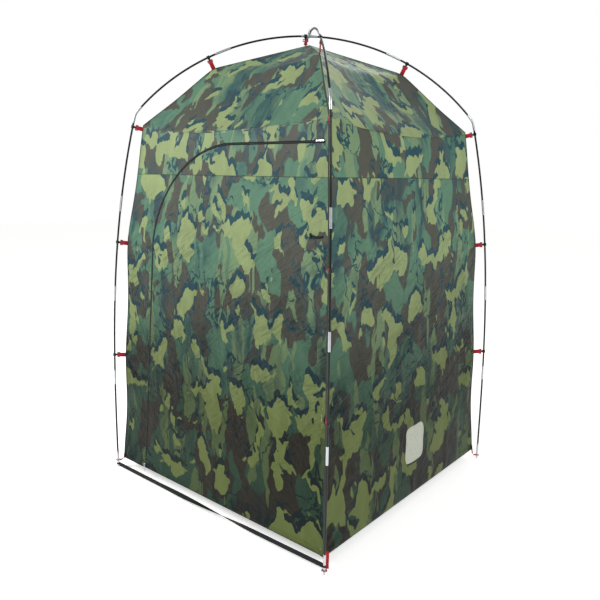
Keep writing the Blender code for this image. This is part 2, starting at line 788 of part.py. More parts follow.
def foot_tab_mesh(corner_name):
    """The tab from a hem corner down to the eyelet ring round a pole tip."""
    corner = CORNERS[corner_name]
    foot, ring_z = FOOT_SIDE / ROOT2, RING_Z[corner_name]
    half = RING_THICK / 2
    start = Vector((CANOPY[0][0] + BINDING_OFFSET[0] + half, CANOPY[0][1] + 0.012))
    line = [start, Vector((start[0] + 0.002, ring_z + 0.008)), Vector((start[0] + 0.009, ring_z))]
    line.append(Vector((foot - RING_HOLE_R - 1.5 * MM, ring_z)))
    normals = outline_normals(line)
    path = [p + n * half for p, n in zip(line, normals)]
    path += [p - n * half for p, n in zip(line[::-1], normals[::-1])]
    across = corner.cross(UP)
    stood = axes_matrix(corner, UP, across, Vector((0, 0, 0)))
    strip = moved(prism("foot_tab", [tuple(p) for p in path], -TAB_HALF, TAB_HALF), stood)
    eyelet = prism("eyelet", circle(RING_R, 16), ring_z - half, ring_z + half)
    moved(eyelet, Matrix.Translation(corner * foot))
    clear = prism("tip_room", circle(RING_HOLE_R, 12), ring_z - 0.01, ring_z + 0.01)
    moved(clear, Matrix.Translation(corner * foot))
    return combined(strip, [(eyelet, "UNION"), (clear, "DIFFERENCE")])


def hook_mesh(name, pole_radius):
    """A moulded hook: a C round the pole, and a slotted frame that holds the tab."""
    inner = pole_radius + HOOK_GAP
    outer = inner + HOOK_WALL
    start, end = math.radians(-75), math.radians(180)
    arc = circle(outer, 12, start, end, closed=False) + circle(inner, 12, end, start, closed=False)
    curl = prism(name, arc, -HOOK_HALF, HOOK_HALF)
    neck_x = (HOOK_FRAME_END - 1 * MM, -inner - 0.3 * MM)
    neck_z = (-HOOK_HALF * 0.7, HOOK_HALF * 0.7)
    neck = box("neck", neck_x, (-HOOK_FRAME_HALF, HOOK_FRAME_HALF), neck_z)
    outline = rectangle((HOOK_BAR[0], HOOK_FRAME_END), (-HOOK_FRAME_TOP, HOOK_FRAME_TOP))
    window = rectangle((HOOK_BAR[1], HOOK_WINDOW_END), (-HOOK_WINDOW_HALF, HOOK_WINDOW_HALF))
    frame = side_prism("frame", outline, -HOOK_FRAME_HALF, HOOK_FRAME_HALF, window)
    return combined(curl, [(neck, "UNION"), (frame, "UNION")])


def make_hooks(halves, finish):
    rod_hook = hook_mesh("hook", ROD_R)
    for letter, names in ARCHES.items():
        for corner_name in names:
            for number, s in enumerate(halves[letter].hooks, 1):
                axes = pole_axes(halves[letter], CORNERS[corner_name], s)
                place(f"hook_{corner_name}_{number}", rod_hook, finish, axes)
    half = halves["a"]
    axes = pole_axes(half, CORNERS["front_left"], half.length - APEX_HOOK_OFFSET)
    place("hook_apex", hook_mesh("apex_hook", FERRULE_R), finish, axes)


def make_bindings(halves, finish):
    rise = [Vector(point) for point in CANOPY]
    first = [Vector((-r, z)) for r, z in CANOPY]
    whole = first + [Vector((r, z)) for r, z in reversed(CANOPY[:-1])]
    (knee_r, knee_z), (_, peak_z) = CANOPY[3], CANOPY[4]
    short = Vector((CROSSING_CUT, peak_z - (peak_z - knee_z) * CROSSING_CUT / knee_r))
    fall = [short] + rise[-2::-1]
    names = ARCHES["a"]
    pair = [CORNERS[name] for name in names]
    tabs = [foot_tab_mesh(name) for name in names]
    for corner in pair:
        tabs += hook_tabs(halves["a"], corner)
    apex_axes = pole_axes(halves["a"], pair[0], halves["a"].length - APEX_HOOK_OFFSET)
    tabs.append(tab_mesh(apex_axes))
    whole = [Vector((r, z)) for r, z in whole]
    mesh = combined(ribbon("corner_binding_a", pair, whole), [(tab, "UNION") for tab in tabs])
    place("corner_binding_a", mesh, finish)
    for corner_name in ARCHES["b"]:
        corner = CORNERS[corner_name]
        name = f"corner_binding_b_{corner_name.split('_')[0]}"
        tabs = [foot_tab_mesh(corner_name), *hook_tabs(halves["b"], corner)]
        strip = ribbon(name, [-corner, corner], fall)
        place(name, combined(strip, [(tab, "UNION") for tab in tabs]), finish)


def hook_tabs(half, corner):
    return [tab_mesh(pole_axes(half, corner, s)) for s in half.hooks]


# ---------------------------------------------------------------- threshold strap


def make_strap(finish):
    """Webbing between the two front feet, turned half round in the middle, with a loop on each tip."""
    foot = FOOT_SIDE / 2
    start = Vector((-foot + STRAP_LOOP_R[0] + 0.6 * MM, -foot, STRAP_Z[0]))
    end = Vector((foot - STRAP_LOOP_R[0] - 0.6 * MM, -foot, STRAP_Z[1]))
    way = (end - start).normalized()
    side = Vector((0, -1, 0))
    top = way.cross(side)
    rings = []
    shares = [0.0, *[0.5 + STRAP_TWIST * (i / STRAP_STEPS - 0.5) for i in range(STRAP_STEPS + 1)], 1.0]
    for share in shares:
        turn = min(max((share - 0.5) / STRAP_TWIST + 0.5, 0.0), 1.0)
        angle = math.pi * turn
        wide = top * math.cos(angle) + side * math.sin(angle)
        thick = side * math.cos(angle) - top * math.sin(angle)
        centre = start.lerp(end, share)
        one = []
        for across, out in ((-1, -1), (1, -1), (1, 1), (-1, 1)):
            one.append(centre + wide * (across * STRAP_HALF) + thick * (out * STRAP_THICK / 2))
        rings.append(one)
    mesh = ring_surface("threshold_strap", rings, closed=False)
    loops = []
    for sign, z in ((-1, STRAP_Z[0]), (1, STRAP_Z[1])):
        spot = Matrix.Translation((sign * foot, -foot, z))
        high, inner = STRAP_LOOP_R[1], STRAP_LOOP_R[0]
        loop = prism("loop", circle(high, 14), -STRAP_HALF, STRAP_HALF, circle(inner, 14))
        loops.append((moved(loop, spot), "UNION"))
    place("threshold_strap", combined(mesh, loops), finish)


def main():
    for old in list(bpy.data.objects):
        bpy.data.objects.remove(old)
    finish = finishes()
    halves = {letter: make_pole(letter, finish) for letter in ARCHES}
    make_hooks(halves, finish["hook"])
    make_bindings(halves, finish["binding"])
    for name, turn in (("right_wall", 90), ("rear_wall", 180), ("left_wall", 270)):
        make_plain_wall(name, turn, finish["canopy"])
    make_front_wall(finish["canopy"])
    make_roof(finish["canopy"])

    point, way = door_axis()
    hinge = bpy.data.objects.new("door_hinge_line", None)
    hinge.matrix_basis = Matrix.Translation(point) @ way.to_track_quat("Z", "Y").to_matrix().to_4x4()
    bpy.context.scene.collection.objects.link(hinge)
    make_door(finish["canopy"], hinge)
    make_zip_half("zip_coil_door_side", 1, finish["coil"], hinge)
    make_tie(finish["strap"], hinge)
    make_zip_half("zip_coil_wall_side", -1, finish["coil"])
    make_sliders(finish["metal"])
    make_strap(finish["strap"])


main()
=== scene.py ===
"""Privacy shower tent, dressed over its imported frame.

The canopy is sewn from four walls and a roof of four gores. It hangs by webbing tabs and hooks inside two
crossed arch poles. Front is -Y, up is +Z, and sizes are in metres.
"""

import itertools
import json
import math

import bpy
import numpy as np
from mathutils import Matrix, Vector, noise


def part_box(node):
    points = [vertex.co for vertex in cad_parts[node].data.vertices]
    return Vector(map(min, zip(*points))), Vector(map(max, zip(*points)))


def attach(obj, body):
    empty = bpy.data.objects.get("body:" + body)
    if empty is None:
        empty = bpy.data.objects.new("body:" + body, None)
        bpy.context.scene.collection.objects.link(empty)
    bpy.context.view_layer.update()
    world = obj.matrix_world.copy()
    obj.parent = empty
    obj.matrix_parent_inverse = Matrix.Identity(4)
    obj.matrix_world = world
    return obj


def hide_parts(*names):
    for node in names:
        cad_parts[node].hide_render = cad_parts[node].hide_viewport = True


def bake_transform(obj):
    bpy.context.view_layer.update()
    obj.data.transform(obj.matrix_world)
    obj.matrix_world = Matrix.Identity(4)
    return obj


bl_info = {
    "name": "Privacy shower tent",
    "version": (1, 0, 0),
    "blender": (4, 5, 0),
    "location": "3D View > Sidebar > Tent",
    "description": "Dresses a square shower tent: canopy, zipped door, arch poles and fittings",
    "category": "Add Mesh",
}

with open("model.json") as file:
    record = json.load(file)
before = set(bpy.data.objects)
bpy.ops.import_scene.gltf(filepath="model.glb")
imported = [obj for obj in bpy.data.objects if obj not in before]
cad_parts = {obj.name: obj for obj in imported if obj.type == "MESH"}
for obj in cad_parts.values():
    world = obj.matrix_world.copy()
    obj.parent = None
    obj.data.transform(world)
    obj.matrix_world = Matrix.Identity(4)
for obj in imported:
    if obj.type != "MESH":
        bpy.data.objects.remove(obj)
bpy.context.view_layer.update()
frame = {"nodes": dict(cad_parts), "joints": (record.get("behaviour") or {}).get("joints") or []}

MM = 0.001
ROOT2 = math.sqrt(2)
UP = Vector((0, 0, 1))
CORNERS = {
    "front_left": Vector((-1, -1, 0)).normalized(),
    "front_right": Vector((1, -1, 0)).normalized(),
    "rear_right": Vector((1, 1, 0)).normalized(),
    "rear_left": Vector((-1, 1, 0)).normalized(),
}
ARCHES = {"a": ("front_left", "rear_right"), "b": ("front_right", "rear_left")}


# How finely each line and sheet is cut
LEG_STEPS, ROOF_STEPS = 160, 100
JAMB_STEPS, CURVE_STEPS = 80, 64
WALL_COLUMNS, WALL_ROWS = 139, 184
JAMB_COLUMNS, HEADER_COLUMNS, STRIP_ROWS = 41, 52, 170
DOOR_COLUMNS = 111
ROOF_COLUMNS, ROOF_ROWS = 121, 92


# ---------------------------------------------------------------- settings


def linear(code):
    """A #rrggbb colour as linear red, green and blue."""
    parts = [int(code[i : i + 2], 16) / 255 for i in (1, 3, 5)]
    return tuple(c / 12.92 if c <= 0.04045 else ((c + 0.055) / 1.055) ** 2.4 for c in parts)


def colour(name, description, code):
    return bpy.props.FloatVectorProperty(
        name=name, description=description, default=linear(code), size=3, min=0, max=1, subtype="COLOR"
    )


def length(name, description, default):
    return bpy.props.FloatProperty(
        name=name, description=description, default=default, min=0, unit="LENGTH"
    )


def number(name, description, default):
    return bpy.props.FloatProperty(name=name, description=description, default=default, min=0)


def spot(name, description, default):
    return bpy.props.FloatVectorProperty(
        name=name, description=description, default=default, size=len(default), subtype="XYZ", unit="LENGTH"
    )


class CanopySettings(bpy.types.PropertyGroup):
    bend_height: length("Bend height", "Height at which the walls start to lean further in", 1.050)
    bend_half: length("Bend half width", "Half the canopy's width at the bend", 0.543)
    knee_height: length("Knee height", "Height of the ridge tabs on the roof", 1.752)
    knee_half: length("Knee half width", "Half the roof's width at the ridge tabs", 0.2793)
    seam_height: length("Band seam height", "Height of the seam that joins the upper band to the wall", 1.322)
    seam_dip: length("Roof seam dip", "How far the roof seam drops between two corners", 0.035)
    middle_sag: length("Middle sag", "How far the wall's top middle pulls in", 0.020)
    scallop: length("Corner scallop", "How far a corner pulls in between its tabs", 0.0062)
    roof_sag: length("Roof sag", "How far a gore hangs in at its middle", 0.020)
    hem_fold: length("Hem fold", "Depth of the hem turned inside", 0.020)
    lap: length("Seam lap", "How far the roof laps over the walls", 0.008)
    billow: length("Billow", "Depth of the broad unevenness of a wall", 0.0045)
    fold: length("Hanging fold", "Depth of the upright folds", 0.0030)
    crumple: length("Crumple", "Depth of the crumpled creases from packing", 0.0050)
    crease: length("Packing crease", "Height of the straight creases left by folding", 0.0022)
    tension: length("Tension fold", "Depth of the folds that fan out from the tabs", 0.0040)


class PrintSettings(bpy.types.PropertyGroup):
    # Painted light and shade: the print is painted darker and more saturated towards the foot, and lighter
    # and bluer towards the top as if lit through there. The upper colours are its painted-light copies and
    # the lower colours its painted-shade copies.
    painted_shade_below: length("Fade start", "Height under which the print is darkest", 0.45)
    painted_light_above: length("Fade end", "Height above which the print is lightest", 1.05)
    depth: number("Depth", "How much of its colour the print gives back", 0.70)
    upper_olive: colour("Upper olive", "Light leaf shapes in the upper canopy", "#9bac78")
    upper_green: colour("Upper green", "Ground colour of the upper canopy", "#648c73")
    upper_brown: colour("Upper brown", "Brown shapes in the upper canopy", "#5a5c53")
    upper_navy: colour("Upper navy", "Dark branches in the upper canopy", "#2d525c")
    lower_olive: colour("Lower olive", "Light leaf shapes in the lower canopy", "#687540")
    lower_green: colour("Lower green", "Ground colour of the lower canopy", "#264131")
    lower_brown: colour("Lower brown", "Brown shapes in the lower canopy", "#2a261d")
    lower_navy: colour("Lower navy", "Dark branches in the lower canopy", "#0d1d1f")


class PoleSettings(bpy.types.PropertyGroup):
    foot_side: length("Foot side", "Side of the square through the pole feet", 1.20)
    top: length("Top", "Centre of the lower arch at the crossing", 1.890)
    crossing_rise: length("Crossing rise", "How much higher the second arch passes", 0.0105)
    shoulder: length("Shoulder height", "Height of the bent elbow in each pole", 1.566)
    lean: length("Shoulder lean", "How far a leg leans in by its elbow", 0.132)
    elbow_blend: length("Elbow blend", "Length of pole bent on each side of the elbow", 0.030)
    rod_radius: length("Rod radius", "Outside radius of the rods", 3.95 * MM)
    ferrule_radius: length("Ferrule radius", "Outside radius of the ferrules", 4.8 * MM)
    ferrule_half: length("Ferrule half length", "Half the length of a straight ferrule", 0.0325)
    elbow_half: length("Elbow half length", "Half the length of a bent elbow ferrule", 0.038)
    tip_length: length("Tip length", "Length of the metal tip on a foot", 0.076)
    leg_joints: spot("Leg joints", "Pole joints on a leg, as lengths from the foot", (0.431, 0.812, 1.201))
    roof_joint: number("Roof joint", "Share of the roof arc from the elbow to its joint", 0.55)
    hook_lengths: spot("Hook lengths", "Hooks on a leg, as lengths from the foot", (0.535, 1.036, 1.522))
    roof_hook: length("Roof hook distance", "Distance of the roof hooks from the axis", 0.415)
    apex_hook: length("Apex hook distance", "Distance of the apex hook from the crossing", 0.016)
    rod: colour("Rod", "Colour of the lacquered rods", "#0b0c0e")
    metal: colour("Metal", "Colour of the ferrules, tips and sliders", "#c9ccd0")


class FittingSettings(bpy.types.PropertyGroup):
    tab_half: length("Tab half width", "Half the width of a webbing tab", 8.5 * MM)
    hook_bar: length("Hook bar distance", "From a pole's centre to the bar that holds a tab", 20.8 * MM)
    eyelet_radius: length("Eyelet radius", "Outside radius of a foot eyelet", 9.5 * MM)
    eyelet_hole: length("Eyelet hole", "Radius of the hole in a foot eyelet", 5.4 * MM)
    eyelet_heights: spot("Eyelet heights", "The front left eyelet's and the others'", (0.034, 0.016, 0))
    zip_foot: spot("Zip foot", "Where the zip starts at the hem, seen from the front", (-0.422, 0.047, 0))
    zip_bend: spot("Zip bend", "Where the zip starts to curve", (-0.367, 1.030, 0))
    zip_top: spot("Zip top", "Where the zip turns level", (0.050, 1.435, 0))
    zip_end: length("Zip end", "Distance of the zip's end from the middle", 0.462)
    zip_gap: length("Zip gap", "From the zip's line to the edge of the cloth", 4.2 * MM)
    tooth_pitch: length("Tooth pitch", "Distance between the teeth of the zip", 2.4 * MM)
    hinge_strip: length("Hinge strip", "Width of cloth between the door and the corner", 16.5 * MM)
    strap_half: length("Strap half width", "Half the width of the threshold strap", 9.4 * MM)
    strap_thick: length("Strap thickness", "Thickness of the threshold strap", 1.5 * MM)
    strap_twist: number("Strap twist", "Share of the strap over which it turns half round", 0.34)
    tie_height: length("Tie height", "Height of the door tie", 1.135)
    red: colour("Red webbing", "Colour of the tabs", "#c5232f")
    black: colour("Black webbing", "Colour of the threshold strap", "#0c1413")
    zip_black: colour("Zip", "Colour of the zip tape and teeth", "#0c1112")
    patch: colour("Patch", "Colour of the plain sewn patch", "#c6cabb")


class StageSettings(bpy.types.PropertyGroup):
    camera_spot: spot("Camera", "Where the camera stands", (1.7404, -2.1134, 1.3288))
    camera_turn: spot("Camera turn", "Turn, tilt down and roll, in radians", (0.69687, 0.19792, 0.015908))
    camera_lens: number("Lens", "Focal length on a 36 mm sensor, in millimetres", 37.418)
    sky: number("Sky", "Strength of the even light from all round", 0.52)
    backdrop: number("Backdrop", "Brightness of the plain background", 1.0)
    key: number("Key light", "Power of the large light, in watts", 150)
    floor: colour("Floor", "Colour of the floor", "#f4f4f2")


# ---------------------------------------------------------------- shaders


class Value:
    """A shader socket that takes part in Python expressions. Each operator adds a Math node."""

    def __init__(self, finish, socket):
        self.finish, self.socket = finish, socket

    def maths(self, operation, *others, clamp=False):
        inputs = dict(enumerate((self, *others)))
        return self.finish.node("ShaderNodeMath", {"operation": operation, "use_clamp": clamp}, inputs)

    def __add__(self, other):
        return self.maths("ADD", other)

    def __sub__(self, other):
        return self.maths("SUBTRACT", other)

    def __rsub__(self, other):
        return self.finish.node("ShaderNodeMath", {"operation": "SUBTRACT"}, {0: other, 1: self})

    def __mul__(self, other):
        return self.maths("MULTIPLY", other)

    def __gt__(self, other):
        return self.maths("GREATER_THAN", other)

    __radd__, __rmul__ = __add__, __mul__

    def __abs__(self):
        return self.maths("ABSOLUTE")

    def above(self, level, soft):
        """0 under the level and 1 over it, with an edge of this softness."""
        return self.maths("MULTIPLY_ADD", 1 / soft, 0.5 - level / soft, clamp=True)

    def wave(self, period):
        """A sine wave of this period, from 0 to 1."""
        return (self * (2 * math.pi / period)).maths("SINE") * 0.5 + 0.5


class Finish:
    """A material under construction round one Principled shader."""

    def __init__(self, name, roughness=0.6, **constants):
        self.material = bpy.data.materials.new(name)
        self.material.use_nodes = True
        self.tree = self.material.node_tree
        self.shader = self.tree.nodes["Principled BSDF"]
        self.shader.inputs["Roughness"].default_value = roughness
        for socket, value in constants.items():
            self.shader.inputs[socket.replace("_", " ").title().replace("Ior", "IOR")].default_value = value

    def node(self, kind, settings, inputs, output=0):
        """A new node: its settings first, then the values or links of its sockets. Returns one output."""
        made = self.tree.nodes.new(kind)
        for key, value in settings.items():
            if key == "stops":
                ramp = made.color_ramp.elements
                ramp[0].position, ramp[0].color = value[0][0], (*value[0][1], 1)
                ramp[1].position, ramp[1].color = value[-1][0], (*value[-1][1], 1)
                for position, shade in value[1:-1]:
                    ramp.new(position).color = (*shade, 1)
            else:
                setattr(made, key, value)
        for key, value in inputs.items():
            if isinstance(value, Value):
                self.tree.links.new(value.socket, made.inputs[key])
            else:
                made.inputs[key].default_value = value
        return Value(self, made.outputs[output])

    def cloth(self):
        """Across, along and panel number, as sewn into the mesh."""
        return self.parts(self.node("ShaderNodeAttribute", {"attribute_name": "cloth"}, {}, "Vector"))

    def body(self):
        """The three coordinates of the piece itself."""
        return self.parts(self.node("ShaderNodeTexCoord", {}, {}, "Object"))

    def parts(self, place):
        return [self.node("ShaderNodeSeparateXYZ", {}, {0: place}, i) for i in range(3)]

    def grain(self, x, y, z=0.0, scale=1.0, detail=2.0, roughness=0.5, twist=0.0):
        place = self.node("ShaderNodeCombineXYZ", {}, {0: x, 1: y, 2: z})
        inputs = {"Vector": place, "Scale": scale, "Detail": detail}
        inputs |= {"Roughness": roughness, "Distortion": twist}
        return self.node("ShaderNodeTexNoise", {"noise_dimensions": "3D"}, inputs)

    def mix(self, mask, first, second):
        """The first colour where the mask is 0, and the second where it is 1."""
        colours = [(*c, 1) if isinstance(c, tuple) else c for c in (first, second)]
        inputs = {0: mask, 6: colours[0], 7: colours[1]}
        return self.node("ShaderNodeMix", {"data_type": "RGBA"}, inputs, 2)

    def shade(self, base, amount):
        """A colour made darker where the amount falls under 1."""
        settings = {"data_type": "RGBA", "blend_type": "MULTIPLY"}
        return self.node("ShaderNodeMix", settings, {0: 1.0, 6: base, 7: amount}, 2)

    def connect(self, **links):
        for name, value in links.items():
            self.tree.links.new(value.socket, self.shader.inputs[name.replace("_", " ").title()])

    def bump(self, *layers):
        """Layers of (height, depth in metres), each over the one before it."""
        normal = None
        for height, depth in layers:
            inputs = {"Height": height, "Distance": depth, "Strength": 1.0}
            if normal is not None:
                inputs["Normal"] = normal
            normal = self.node("ShaderNodeBump", {}, inputs)
        self.tree.links.new(normal.socket, self.shader.inputs["Normal"])


def camouflage(scene):
    """Printed polyester: green ground, brown shapes, dark branches and light leaf shapes over them. Painted
    light makes the cloth lighter and bluer towards the top and darker towards the foot, and painted shade
    darkens the rucks.
    """
    look, cut = scene.tent_print, scene.tent_canopy
    m = Finish("camouflage_polyester", roughness=0.45, specular_ior_level=0.09)
    across, along, panel = m.cloth()
    band = along > cut.seam_height
    a = across + panel * 1.713 + band * 0.443
    v = along + panel * 0.777 + band * 0.219
    fray = m.grain(a, v * 0.35, 3.0, scale=46, detail=1.5) - 0.5
    ragged = v + fray * 0.045
    wobble = m.grain(a, v, 9.0, scale=11, detail=2) - 0.5
    bent = a + wobble * 0.05

    def shapes(seed, wide, tall, level, raised=0.0, detail=2.5):
        field = m.grain(bent * wide, (ragged - raised) * tall, seed, 1.0, detail, 0.5, 0.35)
        return field.above(level, 0.006)

    leaf, branch = (shapes(1.3, 9.4, 7.6, 0.568, raised) for raised in (0.0, 0.026))
    vein = m.grain(bent * 9.5, ragged * 7.5, 5.1, 1.0, 3.0, 0.55, 0.6)
    vein = 1 - (abs(vein - 0.5)).above(0.016, 0.006)
    patchy = m.grain(a * 4.5, v * 4.5, 8.4, 1.0, 1.0).above(0.50, 0.02)
    dark = (branch + vein * patchy).maths("MINIMUM", 1.0)
    brown = shapes(7.9, 6.6, 4.2, 0.488, detail=2.0)
    streak = m.grain(bent * 19, v * 3.2, 6.3, 1.0, 3.0, 0.6, 0.4)
    fern = shapes(4.4, 15.0, 3.4, 0.570, detail=2.0)
    murk = m.grain(a * 6.0, v * 3.0, 2.7, 1.0, 2.0, 0.5, 0.5).above(0.56, 0.14)
    murk = murk * streak.above(0.47, 0.12)

    # Painted light and shade: this mask blends the shaded lower colours at the foot into the lit upper
    # colours at the top.
    high = along.above((look.painted_shade_below + look.painted_light_above) / 2, look.painted_light_above - look.painted_shade_below)
    tones = {}
    for tone in ("green", "brown", "navy", "olive"):
        low_tone, high_tone = (tuple(getattr(look, f"{level}_{tone}")) for level in ("lower", "upper"))
        tones[tone] = m.mix(high, low_tone, high_tone)
    base = m.mix(brown, tones["green"], tones["brown"])
    base = m.mix(fern, base, m.mix(0.42, tones["green"], tones["olive"]))
    base = m.mix(murk * 0.75, base, tones["navy"])
    base = m.mix(dark, base, tones["navy"])
    base = m.mix(leaf, base, tones["olive"])

    worn = m.grain(across, along, 2.0, scale=5, detail=4, roughness=0.6)
    fibre = m.grain(across * 900, along * 900, 0.5, 1.0, 1.0)
    tone = (worn * 0.22 + fibre * 0.12 + 0.83) * (streak * 0.36 + 0.80) * look.depth
    seam = 1 - abs(along - cut.seam_height).above(0.0016, 0.0012)
    hem_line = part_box("left_wall")[0].z + cut.hem_fold
    stitch = (1 - abs(along - hem_line).above(0.0009, 0.0006)) * (across.wave(0.004) > 0.4)
    tone = tone * (1 - seam * 0.45) * (1 - stitch * 0.35)
    middle = 1 - abs(along - 0.78).above(0.34, 0.5)
    rucked = m.grain(across, along, 8.0, scale=4.5, detail=1).above(0.47, 0.16) * (middle * 0.85 + 0.15)
    lean, rise = across * 0.55 - along * 0.84, across * 0.84 + along * 0.55
    rucks_and_painted_shade = abs(m.grain(lean * 62, rise * 8, 3.3, 1.0, 2.0, 0.5, 0.8) - 0.5) * rucked
    # Painted shade: the colour is darkened along the rucks, as if they lay in shade.
    tone = tone * (1.04 - rucks_and_painted_shade * 1.7)
    m.connect(base_color=m.shade(base, tone), roughness=worn * 0.25 + 0.30)
    weave = across.wave(0.0011) * along.wave(0.0009)
    creases = 1 - abs(m.grain(across, along, 6.0, scale=13, detail=3, roughness=0.55, twist=0.5) - 0.5) * 6
    creases = creases.maths("MAXIMUM", 0.0)
    m.bump((creases * (middle * 0.8 + 0.25), 0.0040), (rucks_and_painted_shade, 0.0140), (seam, 0.0006), (weave, 0.00012))
    return m.material


def corner_cloth(scene):
    """The dark bound seam at the corners."""
    m = Finish("corner_tape", roughness=0.75)
    across, along, _ = m.cloth()
    mottle = m.grain(across * 30, along * 14, 1.0, 1.0, 2.0).above(0.5, 0.05)
    rib = along.wave(0.0022)
    base = m.mix(mottle, linear("#232b26"), linear("#39453a"))
    m.connect(base_color=m.shade(base, rib * 0.3 + 0.7))
    m.bump((rib, 0.0003))
    return m.material


def webbing(name, tint, rib, gloss=0.7):
    """Woven narrow webbing: ribs across it, crossed by its warp threads."""
    m = Finish(name, roughness=gloss, specular_ior_level=0.25)
    across, along, _ = m.cloth()
    weft, warp = along.wave(rib), across.wave(rib * 0.8)
    worn = m.grain(across, along, 4.0, scale=60, detail=3)
    tone = weft * 0.22 + warp * 0.14 + worn * 0.3 + 0.5
    m.connect(base_color=m.shade((*tint, 1), tone))
    m.bump((weft * warp, 0.0004), (worn, 0.0002))
    return m.material


def lacquer(tint):
    m = Finish("black_lacquer", roughness=0.28, specular_ior_level=0.35)
    across, along, _ = m.cloth()
    scuff = m.grain(across * 8, along, 2.0, scale=22, detail=5, roughness=0.7)
    m.connect(
        base_color=m.mix(scuff.above(0.64, 0.1), tuple(tint), tuple(min(c * 3 + 0.01, 1) for c in tint)),
        roughness=scuff * 0.25 + 0.16,
    )
    m.bump((m.grain(across * 3, along, 5.0, scale=160, detail=1), 0.00006))
    return m.material


def metal(name, tint, sewn):
    """Bright plated metal with drawing marks. Sewn says whether the mesh holds its own coordinates."""
    m = Finish(name, roughness=0.3, metallic=1.0)
    x, y, z = m.cloth() if sewn else m.body()
    drawn = m.grain(x * 260, y * 9, z * 260, 1.0, 3.0)
    grime = m.grain(x, y, z, scale=38, detail=4)
    tone = drawn * 0.16 + grime * 0.24 + 0.72
    m.connect(base_color=m.shade((*tint, 1), tone), roughness=grime * 0.3 + drawn * 0.1 + 0.12)
    m.bump((drawn, 0.00004))
    return m.material


def moulded(name, code, gloss=0.42):
    m = Finish(name, roughness=gloss)
    x, y, z = m.body()
    pebble = m.grain(x, y, z, scale=900, detail=1)
    flow = m.grain(x, y, z, scale=70, detail=3)
    m.connect(base_color=m.shade((*linear(code), 1), flow * 0.5 + 0.72), roughness=flow * 0.3 + gloss - 0.15)
    m.bump((pebble, 0.00008))
    return m.material


def braid(name, code):
    m = Finish(name, roughness=0.8)
    x, y, z = m.body()
    strands = (z * 1.0 + x * 0.6).wave(0.0016) * (z * 1.0 - y * 0.6).wave(0.0016)
    m.connect(base_color=m.shade((*linear(code), 1), strands * 0.5 + 0.6))
    m.bump((strands, 0.0003))
    return m.material


def floor_finish(tint):
    m = Finish("studio_floor", roughness=0.8, specular_ior_level=0.1, emission_strength=0.52)
    m.shader.inputs["Emission Color"].default_value = (1, 1, 1, 1)
    x, y, z = m.body()
    m.connect(base_color=m.shade((*tint, 1), m.grain(x, y, z, scale=0.6, detail=2) * 0.02 + 0.985))
    return m.material


def finish_of(scene, name):
    """The named finish, made the first time that it is asked for."""
    found = bpy.data.materials.get(name)
    if found is not None:
        return found
    poles, fittings = scene.tent_poles, scene.tent_fittings
    makers = {
        "camouflage_polyester": lambda: camouflage(scene),
        "corner_tape": lambda: corner_cloth(scene),
        "red_webbing": lambda: webbing("red_webbing", fittings.red, 0.0016),
        "black_webbing": lambda: webbing("black_webbing", fittings.black, 0.0018),
        "zip_tape": lambda: webbing("zip_tape", fittings.zip_black, 0.0009, 0.8),
        "patch_cloth": lambda: webbing("patch_cloth", fittings.patch, 0.0012, 0.8),
        "elastic_loop": lambda: webbing("elastic_loop", linear("#d4d8d8"), 0.0012),
        "black_lacquer": lambda: lacquer(poles.rod),
        "bright_tube": lambda: metal("bright_tube", poles.metal, True),
        "bright_casting": lambda: metal("bright_casting", poles.metal, False),
        "moulded_nylon": lambda: moulded("moulded_nylon", "#141516"),
        "zip_teeth": lambda: moulded("zip_teeth", "#1a2122", 0.35),
        "braided_elastic": lambda: braid("braided_elastic", "#c9c8c0"),
        "studio_floor": lambda: floor_finish(scene.tent_stage.floor),
    }
    return makers[name]()


# ---------------------------------------------------------------- meshes


def smooth(share):
    share = np.clip(share, 0, 1)
    return share * share * (3 - 2 * share)


def bell(value, centre, width):
    return np.exp(-(((value - centre) / width) ** 2))


def grain(x, y, seed):
    """Even noise from -1 to 1 at each of these places."""
    x, y = np.broadcast_arrays(x, y)
    values = [noise.noise((a, b, seed)) for a, b in zip(x.ravel().tolist(), y.ravel().tolist())]
    return np.array(values).reshape(x.shape)


def ridges(noises, narrow):
    """Sharp ridges where the noise passes zero."""
    return np.clip(1 - np.abs(noises) * narrow, 0, 1) ** 2


def rounded(points, reach, steps=8):
    """A line through these points with each bend turned into a short curve."""
    points = [Vector(p) for p in points]
    line = [points[0]]
    for before, corner, after in zip(points, points[1:], points[2:]):
        first = corner + (before - corner).normalized() * min(reach, (before - corner).length / 2)
        last = corner + (after - corner).normalized() * min(reach, (after - corner).length / 2)
        for i in range(steps + 1):
            t = i / steps
            line.append(first * (1 - t) ** 2 + corner * (2 * t * (1 - t)) + last * t**2)
    return [*line, points[-1]]


def unit(vectors):
    return vectors / np.linalg.norm(vectors, axis=-1, keepdims=True)


def ways_of(points):
    """The direction of a line at each of its points."""
    return unit(np.gradient(points, axis=0))


def both(profile):
    """A profile with its mirror image under it, as one loop."""
    return [*profile, *[(x, -y) for x, y in reversed(profile)]]


def quarters(points, side):
    """Points of the front turned about the axis to another side."""
    return points @ np.array(Matrix.Rotation(math.radians(90 * side), 3, "Z")).T


def shared(vector, like):
    """One vector for each point of a line."""
    return np.broadcast_to(np.array(vector), like.shape)


class Line:
    """A dense line that is read by the length along it."""

    def __init__(self, points):
        self.points = np.array([tuple(p) for p in points], float)
        steps = np.linalg.norm(np.diff(self.points, axis=0), axis=1)
        self.marks = np.concatenate([[0.0], np.cumsum(steps)])
        self.length = self.marks[-1]

    def at(self, s):
        return np.stack([np.interp(s, self.marks, column) for column in self.points.T], axis=-1)

    def way(self, s):
        return unit(self.at(np.asarray(s) + 0.003) - self.at(np.asarray(s) - 0.003))


